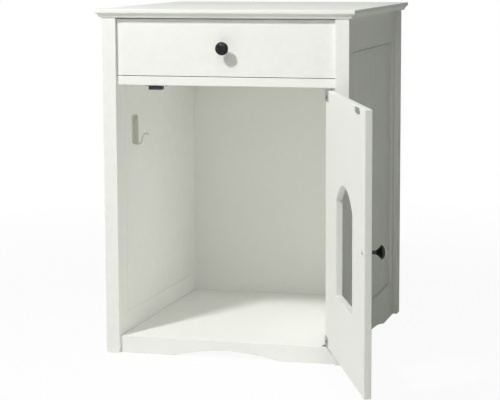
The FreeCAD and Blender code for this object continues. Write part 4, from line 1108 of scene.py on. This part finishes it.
@dataclass
class SideFrames:
    """Rails, stiles and planked panels of both sides."""

    shop: Workshop
    top_rail: float = 0.062
    bottom_rail: float = 0.068
    stile: float = 0.025
    scallop_width: float = 0.250
    scallop_rise: float = 13.0 * MM
    ease: float = 0.7 * MM
    recess: float = 5.0 * MM
    fit: float = 0.4 * MM
    shadow_gap: float = 1.2 * MM
    top_gap: float = 3.2 * MM
    tongue: float = 6.0 * MM
    tongue_thick: float = 5.0 * MM
    tongue_root: float = 1.0 * MM
    plank_count: int = 8
    plank_ease: float = 0.1 * MM
    score_width: float = 3.6 * MM
    score_depth: float = 1.6 * MM

    def bottom_outline(self) -> Loop:
        """The lower rail in Y and Z, with the long shallow curve below."""
        return scalloped(LEVELS.frame_front, LEVELS.frame_back, self.bottom_rail,
                         self.scallop_width / 2, self.scallop_rise, self.ease)

    def planks(self, side: Side) -> Work:
        """A panel scored into upright planks, tongued into its frame.

        Args:
            side: Left or right.

        Returns:
            The mesh, in place, with a shadow gap round its outer face.
        """
        inner, outer = LEVELS.inner_right, LEVELS.frame_right - self.recess
        front, back = LEVELS.frame_front + self.stile, LEVELS.frame_back - self.stile
        low, high = self.bottom_rail, LEVELS.top_underside - self.top_rail
        gap, shadow, tongue, root = self.fit, self.shadow_gap, self.tongue, self.tongue_root
        near = (inner + outer - self.tongue_thick) / 2
        far = (inner + outer + self.tongue_thick) / 2
        outline = [(inner, back - gap), (inner, front + gap), (near, front + gap),
                   (near, front - tongue), (far, front - tongue), (far, front + shadow),
                   (outer, front + shadow)]
        pitch = (back - front) / self.plank_count
        half, deep = self.score_width / 2, self.score_depth
        for number in range(1, self.plank_count):
            y = front + pitch * number
            outline += [(outer, y - half), (outer - deep, y), (outer, y + half)]
        outline += [(outer, back - shadow), (far, back - shadow), (far, back + tongue),
                    (near, back + tongue), (near, back - gap)]
        face = slab(outline, high - low - gap * 2, self.plank_ease, steps=1)
        face.transform(Matrix.Translation((0.0, 0.0, low + gap)))
        notches = [board((far, front - root, z - deep_gap), (outer + root, back + root,
                                                             z + deep_gap),
                         self.plank_ease / 2)
                   for z, deep_gap in ((low, shadow), (high, self.top_gap))]
        tongues = [board((near, front - tongue, z - tongue), (far, back + tongue, z + root),
                         self.plank_ease) for z in (low, high + tongue - root)]
        whole = merged([cut_away(face, merged(notches)), *tongues])
        if side is Side.LEFT:
            bmesh.ops.scale(whole, vec=(-1.0, 1.0, 1.0), verts=whole.verts)
            bmesh.ops.reverse_faces(whole, faces=whole.faces)
        return whole

    def build(self) -> None:
        """Makes the frames and their planked panels."""
        front, back = LEVELS.frame_front, LEVELS.frame_back
        low, high = self.bottom_rail, LEVELS.top_underside - self.top_rail
        boards = {
            "top_rail": (front, back, high, LEVELS.top_underside),
            "front_stile": (front, front + self.stile, low, high),
            "rear_stile": (back - self.stile, back, low, high),
        }
        for side in Side:
            x = sorted((side.value * LEVELS.inner_right, side.value * LEVELS.frame_right))
            for part, (y0, y1, z0, z1) in boards.items():
                work = board((x[0], y0, z0), (x[1], y1, z1), self.ease)
                self.shop.piece(f"side_{part}_{side.word}_eased", work)
            rail = slab(self.bottom_outline(), x[1] - x[0], self.ease)
            self.shop.piece(f"side_bottom_rail_{side.word}_curved",
                            placed(rail, axes((x[0], 0.0, 0.0), *SIDEWAYS)))
            self.shop.piece(f"side_panel_{side.word}_planked", self.planks(side),
                            crisp=Crisp.SCORED)


@dataclass
class Carcass:
    """Floor, divider, rail, apron, back and the joinery that holds them."""

    shop: Workshop
    apron_thickness: float = 12.0 * MM
    scallop_width: float = 0.196
    scallop_rise: float = 13.0 * MM
    rail_depth: float = 0.050
    shelf_gap: float = 0.6 * MM
    shelf_ease: float = 0.5 * MM
    ease: float = 0.8 * MM
    top_screw: Screw = Screw(length=16.0 * MM)

    def build(self) -> None:
        """Makes the visible boards and dresses the rest."""
        right, face = LEVELS.inner_right, LEVELS.face_front
        outline = scalloped(-right, right, LEVELS.floor, self.scallop_width / 2,
                            self.scallop_rise, self.ease)
        apron = slab(outline, self.apron_thickness, self.ease)
        self.shop.piece("front_apron_curved", placed(apron, axes(
            (0.0, face + self.apron_thickness, 0.0), *FRONTWAYS)))
        rail = board((-right, face, LEVELS.rail_bottom),
                     (right, face + self.rail_depth, LEVELS.rail_top), self.ease)
        self.shop.piece("front_rail_eased", rail)
        low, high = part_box("floor_panel")
        gap = Vector((self.shelf_gap, 0.0, 0.0))
        self.shop.piece("floor_panel_eased", board(low + gap, high - gap, self.shelf_ease))
        self.shop.keep(Slot.LACQUER, "back_panel", "back_top_rail", "back_bottom_rail",
                       "floor_cleat_left", "floor_cleat_right", "floor_centre_foot",
                       "divider_panel", "divider_cleat_left", "divider_cleat_right",
                       "top_front_strip", "top_corner_blocks")
        self.shop.keep(Slot.BEECH, "carcass_dowels", "drawer_runner_left",
                       "drawer_runner_right", "drawer_stops")
        low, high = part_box("top_screws")
        inset, head = self.top_screw.head_radius, self.top_screw.head_height
        places = [facing((x, y, low.z + head), DOWN) for x in (low.x + inset, high.x - inset)
                  for y in (low.y + inset, high.y - inset)]
        self.shop.piece("top_screws_cut", copies(self.top_screw.build(), places),
                        slot=Slot.ZINC, crisp=Crisp.SCREW)


@dataclass
class Knob:
    """A turned knob: small foot, straight neck, flared back, rounded rim and domed face."""

    foot_radius: float = 5.5 * MM
    foot_height: float = 2.0 * MM
    neck_radius: float = 3.2 * MM
    neck_top: float = 8.5 * MM
    head_radius: float = 12.0 * MM
    rim_height: float = 18.4 * MM
    rim_round: float = 1.3 * MM
    height: float = 25.0 * MM
    fillet: float = 1.2 * MM
    arris: float = 0.5 * MM
    flare_steps: int = 12
    flare_out: float = 1.35
    flare_up: float = 0.9
    segments: int = 96

    def foot(self) -> list[Point2]:
        """Radius and height of the foot, with its upper edge rounded."""
        small, radius, top = self.arris, self.foot_radius, self.foot_height
        foot = [(0.0, 0.0), (radius - 0.2 * MM, 0.0), (radius, 0.3 * MM), (radius, top - small)]
        return foot + [(radius - small * (1 - math.cos(t)), top - small * (1 - math.sin(t)))
                       for t in radians(30, 60, 90)]

    def profile(self) -> list[Point2]:
        """Radius and height, from the foot's middle to the middle of the dome."""
        neck = [(self.neck_radius + self.fillet * (1 - math.sin(t)),
                 self.foot_height + self.fillet * (1 - math.cos(t)))
                for t in radians(0, 30, 60, 90)]
        shoulder = self.head_radius - self.rim_round
        low_rim = self.rim_height - self.rim_round
        ways = [i / self.flare_steps for i in range(self.flare_steps + 1)]
        flare = [(self.neck_radius + (shoulder - self.neck_radius) * t ** self.flare_out,
                  self.neck_top + (low_rim - self.neck_top) * t ** self.flare_up)
                 for t in ways]
        rim = [(shoulder + self.rim_round * math.sin(t),
                self.rim_height - self.rim_round * math.cos(t))
               for t in radians(20, 40, 60, 80)]
        rise = self.height - self.rim_height
        dome = [(self.head_radius * math.cos(t), self.rim_height + rise * math.sin(t))
                for t in radians(*range(4, 90, 5))]
        return self.foot() + neck + flare + rim + dome + [(0.0, self.height)]

    def fit(self, shop: Workshop, body: Body, x: float, z: float, thickness: float,
            bolt: Screw, turn: Matrix) -> None:
        """Fits the knob and its bolt through a front.

        Args:
            shop: The workshop.
            body: The front's body, which also names the pieces.
            x: The knob's place across the closed front.
            z: Its height above the ground.
            thickness: The front's thickness.
            bolt: The bolt from behind.
            turn: How far the front stands open.
        """
        face = LEVELS.face_front
        knob = placed(turned(self.profile(), self.segments), facing((x, face, z), FORWARD))
        shop.piece(f"{body.value}_knob_turned", placed(knob, turn), body, Slot.DARK_CHROME,
                   Crisp.TURNED)
        screw = placed(bolt.build(), facing((x, face + thickness, z), BACKWARD))
        shop.piece(f"{body.value}_knob_bolt", placed(screw, turn), body, Slot.ZINC,
                   Crisp.SCREW, node=f"{body.value}_knob_screw")


def knob_bolt(length: float) -> Screw:
    """The bolt that holds a knob, with a low wide head."""
    return Screw(head_radius=4.0 * MM, head_height=2.0 * MM, shank_radius=2.0 * MM,
                 length=length, pitch=0.7 * MM, recess_long=4.4 * MM)


@dataclass
class Drawer:
    """The drawer: an eased front, a jointed box, its knob and the knob's bolt."""

    shop: Workshop
    front_thickness: float = 15.0 * MM
    ease: float = 0.5 * MM
    closer_sides: float = 1.0 * MM
    closer_levels: float = 0.8 * MM
    knob_height: float = 0.56625
    bolt: Screw = knob_bolt(20.5 * MM)

    def build(self) -> None:
        """Makes the front and the fittings and dresses the box."""
        low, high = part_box("drawer_front")
        nearer = Vector((self.closer_sides, 0.0, self.closer_levels))
        self.shop.piece("drawer_front_eased", board(low - nearer, high + nearer, self.ease),
                        Body.DRAWER)
        self.shop.keep(Slot.LACQUER, "drawer_side_left", "drawer_side_right", "drawer_back",
                       "drawer_bottom")
        self.shop.keep(Slot.BEECH, "drawer_dowels")
        Knob().fit(self.shop, Body.DRAWER, 0.0, self.knob_height, self.front_thickness,
                   self.bolt, Matrix.Identity(4))


@dataclass
class Door:
    """The door slab with its arched hole, its knob, leaves, strike plate and screws."""

    shop: Workshop
    right: float = 0.2015
    bottom: float = 0.033
    top: float = 0.493
    thickness: float = 12.0 * MM
    arch_half: float = 84.5 * MM
    arch_bottom: float = 0.145
    arch_spring: float = 0.313
    arch_rise: float = 34.0 * MM
    arch_corner: float = 1.2 * MM
    ease: float = 1.0 * MM
    leaf_ease: float = 0.25 * MM
    knob_x: float = -0.1835
    knob_z: float = 0.266
    leaf_screw_x: float = 0.178
    leaf_screw_drop: float = 10.8 * MM
    strike_x: float = -0.135
    strike_z: float = 0.487
    strike_size: Point2 = (40.0 * MM, 10.0 * MM)
    strike_ease: float = 0.3 * MM
    strike_hole: float = 2.9 * MM
    strike_sink: float = 0.5 * MM
    sheet: float = 1.5 * MM
    bolt: Screw = knob_bolt(17.5 * MM)
    strike_screw: Screw = Screw(head_radius=2.8 * MM, sunk=True, recess_long=4.2 * MM,
                                recess_wide=1.3 * MM)

    def outline(self) -> tuple[Loop, Loop]:
        """The door's edge and its arched hole, in X and Z."""
        outer = round_corners(rectangle(-self.right, self.right, self.bottom, self.top),
                              self.ease)
        half, spring = self.arch_half, self.arch_spring
        crown = arc_through((-half, spring), (half, spring), self.arch_rise, 40)
        hole = [(-half, self.arch_bottom), *crown, (half, self.arch_bottom)]
        return outer, round_corners(hole, self.arch_corner, 3, 20.0)

    def build(self) -> None:
        """Makes the slab and its fittings."""
        outer, hole = self.outline()
        rear, opened = LEVELS.face_front + self.thickness, LEVELS.door_turn()
        panel = placed(slab(outer, self.thickness, self.ease, [hole]),
                       axes((0.0, rear, 0.0), *FRONTWAYS))
        self.shop.piece("door_panel_arched", placed(panel, opened), Body.DOOR,
                        crisp=Crisp.CUT)
        Knob().fit(self.shop, Body.DOOR, self.knob_x, self.knob_z, self.thickness, self.bolt,
                   opened)
        self.shop.keep(Slot.ZINC, "hinge_leaf_top", "hinge_leaf_bottom", ease=self.leaf_ease)
        face = rear + self.sheet
        self.shop.piece("strike_plate_stamped", placed(self.strike(face), opened), Body.DOOR,
                        Slot.ZINC, Crisp.CUT)
        leaf = copies(Screw().build(), [
            facing((self.leaf_screw_x, face, z), BACKWARD)
            for z in (self.top - self.leaf_screw_drop, self.bottom + self.leaf_screw_drop)])
        strike = placed(self.strike_screw.build(), facing(
            (self.strike_x, face - self.strike_sink, self.strike_z), BACKWARD))
        # The screws take the darker copy of the zinc: painted shade.
        self.shop.piece("door_screws_cut", placed(merged([leaf, strike]), opened), Body.DOOR,
                        Slot.ZINC, Crisp.SCREW, Wear.DULL)

    def strike(self, face: float) -> Work:
        """Stamps the strike plate with its round ends.

        Args:
            face: Where its showing face lies on the shut door, along Y.

        Returns:
            The plate, on the shut door.
        """
        long, wide = self.strike_size
        outline = round_corners(rectangle(-long / 2, long / 2, -wide / 2, wide / 2),
                                wide / 2 - 0.05 * MM, 8)
        hole = circle(0.0, 0.0, self.strike_hole, 24)[::-1]
        return placed(slab(outline, self.sheet, self.strike_ease, [hole], 2),
                      axes((self.strike_x, face, self.strike_z), *FRONTWAYS))


@dataclass
class Fittings:
    """What is screwed to the case: hinge plates, washer, magnetic catch and scoop hook.

    The hook's bends are in millimetres: out from the wall, and above the ground.
    """

    shop: Workshop
    plate_screw_x: Point2 = (0.183, 0.200)
    plate_screw: Screw = Screw(head_radius=2.7 * MM, sunk=True)
    sheet: float = 1.5 * MM
    small_ease: float = 0.2 * MM
    catch_x: float = -0.135
    catch_screw_reach: float = 17.75 * MM
    catch_y: float = -0.2227
    housing_width: float = 25.0 * MM
    housing_ease: float = 0.9 * MM
    pocket_reach: float = 1.0 * MM
    pocket_ease: float = 0.1 * MM
    flange_thickness: float = 2.0 * MM
    flange_ease: float = 0.3 * MM
    hook_y: float = -0.148
    hook_top: float = 0.4345
    hook_low: float = 0.3785
    hook_front: float = -0.165
    hook_back: float = -0.1335
    hook_plate: float = 2.0 * MM
    hook_ease: float = 0.4 * MM
    hook_top_corner: Point2 = (14.0 * MM, 5.0 * MM)
    hook_low_front: Point2 = (21.5 * MM, 8.5 * MM)
    hook_low_back: Point2 = (6.0 * MM, 5.0 * MM)
    hook_wire: float = 1.5 * MM
    hook_bends: tuple[Point2, ...] = (
        (2.0, 380.2), (5.8, 379.5), (9.4, 380.3), (12.1, 382.6), (13.9, 386.6), (15.6, 391.8),
        (17.2, 396.4), (19.5, 399.0), (22.6, 399.6), (26.0, 397.8))
    hook_screw_drop: float = 7.0 * MM

    def hinge_parts(self) -> None:
        """Dresses the hinge plates and makes their countersunk screws."""
        self.shop.keep(Slot.ZINC, "hinge_plate_top", "hinge_plate_bottom",
                       ease=self.small_ease)
        self.shop.keep(Slot.NYLON, "hinge_washer", ease=self.small_ease)
        seats = ((LEVELS.rail_bottom - self.sheet, DOWN), (LEVELS.floor + self.sheet, UP))
        places = [facing((x, LEVELS.pivot_y, z), way) for x in self.plate_screw_x
                  for z, way in seats]
        # The screws take the darker copy of the zinc: painted shade.
        self.shop.piece("hinge_screws_cut", copies(self.plate_screw.build(), places),
                        slot=Slot.ZINC, crisp=Crisp.SCREW, wear=Wear.DULL,
                        node="hinge_plate_screws")

    def catch(self) -> None:
        """Dresses the magnetic catch, cuts the magnet's pocket and makes the screws."""
        self.shop.keep(Slot.ZINC, "catch_flange", ease=self.flange_ease)
        low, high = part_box("catch_housing")
        magnet_low, magnet_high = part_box("catch_magnet")
        high.x = low.x + self.housing_width
        magnet_low.y -= self.pocket_reach
        pocket = board(magnet_low, magnet_high, self.pocket_ease)
        self.shop.piece("catch_housing_moulded",
                        cut_away(board(low, high, self.housing_ease), pocket),
                        slot=Slot.PLASTIC)
        self.shop.keep(Slot.MAGNET, "catch_magnet", ease=self.small_ease)
        seat = LEVELS.rail_bottom - self.flange_thickness
        places = [facing((self.catch_x + reach, self.catch_y, seat), DOWN)
                  for reach in (-self.catch_screw_reach, self.catch_screw_reach)]
        self.shop.piece("catch_screws_cut", copies(Screw().build(), places),
                        slot=Slot.ZINC, crisp=Crisp.SCREW)

    def hook_outline(self) -> Loop:
        """The hook's plate in Y and Z: its lower front corner sweeps up in a long curve."""
        front, back, low, top = self.hook_front, self.hook_back, self.hook_low, self.hook_top
        (long, high), (run, rise) = self.hook_low_front, self.hook_low_back
        wide, tall = self.hook_top_corner
        return [
            *oval((front + long, low + high), (long, high), 180.0, 14),
            *oval((back - run, low + rise), (run, rise), 270.0, 8),
            *oval((back - wide, top - tall), (wide, tall), 0.0, 10),
            *oval((front + wide, top - tall), (wide, tall), 90.0, 10),
        ]

    def hook(self) -> None:
        """Makes the scoop hook and its screw."""
        wall = -LEVELS.inner_right
        plate = placed(slab(self.hook_outline(), self.hook_plate, self.hook_ease, steps=2),
                       axes((wall, 0.0, 0.0), *SIDEWAYS))
        bends = [Vector((wall + out * MM, self.hook_y, height * MM))
                 for out, height in self.hook_bends]
        rod = wire(smooth_path(bends, 5), self.hook_wire)
        self.shop.piece("scoop_hook_bent", merged([plate, rod]), slot=Slot.NICKEL,
                        crisp=Crisp.CUT)
        screw = placed(Screw().build(), facing(
            (wall + self.hook_plate, self.hook_y, self.hook_top - self.hook_screw_drop),
            (1, 0, 0)))
        self.shop.piece("hook_screw_cut", screw, slot=Slot.ZINC, crisp=Crisp.SCREW)

    def build(self) -> None:
        """Makes all of the fittings on the case."""
        self.hinge_parts()
        self.catch()
        self.hook()


# ---- the studio ----------------------------------------------------------------------------


@dataclass(frozen=True)
class Lamp:
    """A soft lamp: a disc or a panel that faces a point."""

    name: str
    place: Point3
    towards: Point3
    power: float
    size: Point2
    shape: str = "RECTANGLE"

    def build(self) -> None:
        """Hangs the lamp."""
        light = bpy.data.lights.new(self.name, "AREA")
        light.shape = self.shape
        light.size, light.size_y = self.size
        light.energy = self.power
        thing = bpy.data.objects.new(self.name, light)
        thing.location = self.place
        thing.rotation_mode = "QUATERNION"
        aim = Vector(self.towards) - Vector(self.place)
        thing.rotation_quaternion = aim.to_track_quat("-Z", "Y")
        thing.visible_camera = False
        bpy.context.scene.collection.objects.link(thing)


@dataclass
class Studio:
    """Camera, lamps, pale floor and white surroundings.

    The compartment's lamp stands for the light that real white walls throw back and forth.
    The camera's three angles are in degrees, its lens and film in millimetres, the floor's
    fade in shares of its radius.
    """

    camera_place: Point3 = (0.87766, -3.28637, 0.73437)
    yaw: float = 15.28637
    pitch: float = -7.95122
    roll: float = -0.23927
    lens: float = 127.3032
    film_width: float = 36.0
    farthest: float = 60.0
    floor_radius: float = 2.4
    floor_height: float = -0.0005
    floor_fade: Point2 = (0.3, 0.8)
    floor_tone: Colour = (0.88, 0.88, 0.87)
    floor_white: float = 0.94
    ambient: float = 0.104
    ambient_colour: Colour = (0.94, 1.0, 0.84)
    lamps: tuple[Lamp, ...] = (
        Lamp("key_lamp", (-0.815, -1.659, 2.121), (0.0, -0.15, 0.3), 39.6, (0.27, 0.27),
             "DISK"),
        Lamp("high_front_panel", (0.6, -2.4, 2.4), (0.0, 0.0, 0.3), 10.5, (1.5, 1.0)),
        Lamp("low_front_panel", (0.9, -3.0, 0.5), (0.0, 0.0, 0.3), 2.5, (1.0, 1.0)),
        Lamp("left_panel", (-2.5, -1.5, 1.2), (0.0, 0.0, 0.3), 3.0, (1.5, 1.5)),
        Lamp("top_panel", (0.0, -0.5, 2.8), (0.0, 0.0, 0.3), 7.2, (2.0, 2.0)),
        Lamp("compartment_lamp", (0.196, -0.03, 0.26), (-0.2, -0.03, 0.26), 0.25,
             (0.36, 0.36)),
    )

    def camera(self) -> None:
        """Sets the camera where the photograph was taken from."""
        yaw, pitch, roll = radians(self.yaw, self.pitch, self.roll)
        ahead = Vector((-math.sin(yaw) * math.cos(pitch), math.cos(yaw) * math.cos(pitch),
                        math.sin(pitch)))
        right = ahead.cross(Vector(UP)).normalized()
        up = right.cross(ahead)
        right, up = (right * math.cos(roll) + up * math.sin(roll),
                     up * math.cos(roll) - right * math.sin(roll))
        data = bpy.data.cameras.new("photo_camera")
        data.sensor_width = self.film_width
        data.sensor_fit = "HORIZONTAL"
        data.lens = self.lens
        data.clip_end = self.farthest
        thing = bpy.data.objects.new("photo_camera", data)
        turn = Matrix((right, up, -ahead)).transposed().to_4x4()
        thing.matrix_world = Matrix.Translation(Vector(self.camera_place)) @ turn
        bpy.context.scene.collection.objects.link(thing)
        bpy.context.scene.camera = thing

    @staticmethod
    def emptied(tree: Tree) -> Bench:
        """A bench on a node tree that starts with no nodes."""
        tree.nodes.clear()
        return Bench(tree)

    @staticmethod
    def seen_rays(bench: Bench) -> Socket:
        """One for camera, glossy and transmission rays, none for the light that falls."""
        rays = bench.add("ShaderNodeLightPath").outputs
        seen = bench.sum("MAXIMUM", rays["Is Camera Ray"], rays["Is Glossy Ray"])
        return bench.sum("MAXIMUM", seen, rays["Is Transmission Ray"])

    @staticmethod
    def mixed(bench: Bench, share: Socket, lit: Node,
              seen: Node, end: str) -> None:
        """Mixes what lights the object with what is seen.

        Args:
            bench: The bench.
            share: How much of the seen shader there is.
            lit: The shader for the light that falls.
            seen: The shader for what is seen.
            end: The output node's type name.
        """
        mix = bench.add("ShaderNodeMixShader")
        for socket, source in zip(mix.inputs, (share, lit.outputs[0], seen.outputs[0])):
            bench.feed(socket, source)
        bench.feed(bench.add(end).inputs["Surface"], mix.outputs[0])

    def world(self) -> None:
        """White where it is seen, and a plain level of light where it falls."""
        world = bpy.data.worlds.new("studio")
        world.use_nodes = True
        bench = self.emptied(world.node_tree)
        light = bench.add("ShaderNodeBackground", Color=self.ambient_colour,
                          Strength=self.ambient)
        white = bench.add("ShaderNodeBackground", Color=WHITE, Strength=1.0)
        self.mixed(bench, self.seen_rays(bench), light, white, "ShaderNodeOutputWorld")
        bpy.context.scene.world = world

    def floor(self) -> None:
        """A pale round floor that keeps a faint shadow and fades into the white."""
        work = bmesh.new()
        centre = work.verts.new((0.0, 0.0, 0.0))
        ring = [work.verts.new((x, y, 0.0)) for x, y in circle(0.0, 0.0, self.floor_radius, 96)]
        for here, after in zip(ring, ring[1:] + ring[:1]):
            work.faces.new((centre, here, after))
        thing = stand("studio_floor", work)
        thing.location.z = self.floor_height
        material = bpy.data.materials.new("studio_floor")
        material.use_nodes = True
        bench = self.emptied(material.node_tree)
        matt = bench.add("ShaderNodeBsdfDiffuse", Color=self.floor_tone)
        glow = bench.add("ShaderNodeEmission", Color=WHITE, Strength=1.0)
        far = bench.add("ShaderNodeVectorMath", {"operation": "LENGTH"})
        bench.feed(far.inputs[0], bench.where())
        start, end = (self.floor_radius * share for share in self.floor_fade)
        fade = bench.span(far.outputs["Value"], start, end, self.floor_white, 1.0)
        share = bench.sum("MULTIPLY", self.seen_rays(bench), fade)
        self.mixed(bench, share, matt, glow, "ShaderNodeOutputMaterial")
        thing.data.materials.append(material)

    def build(self) -> None:
        """Sets up the whole studio."""
        bpy.context.scene.view_settings.view_transform = "Standard"
        self.camera()
        self.world()
        self.floor()
        for lamp in self.lamps:
            lamp.build()
        LOG.info("set up the studio with %d lamps", len(self.lamps))


# ---- all of it -----------------------------------------------------------------------------


def main() -> None:
    """Builds every sub-assembly in order and then the studio."""
    logging.basicConfig(level=logging.INFO, format="%(name)s: %(message)s")
    shop = Workshop()
    for assembly in (TopBoard, Posts, SideFrames, Carcass, Drawer, Door, Fittings):
        assembly(shop).build()
    Studio().build()


if __name__ == "__main__":
    main()
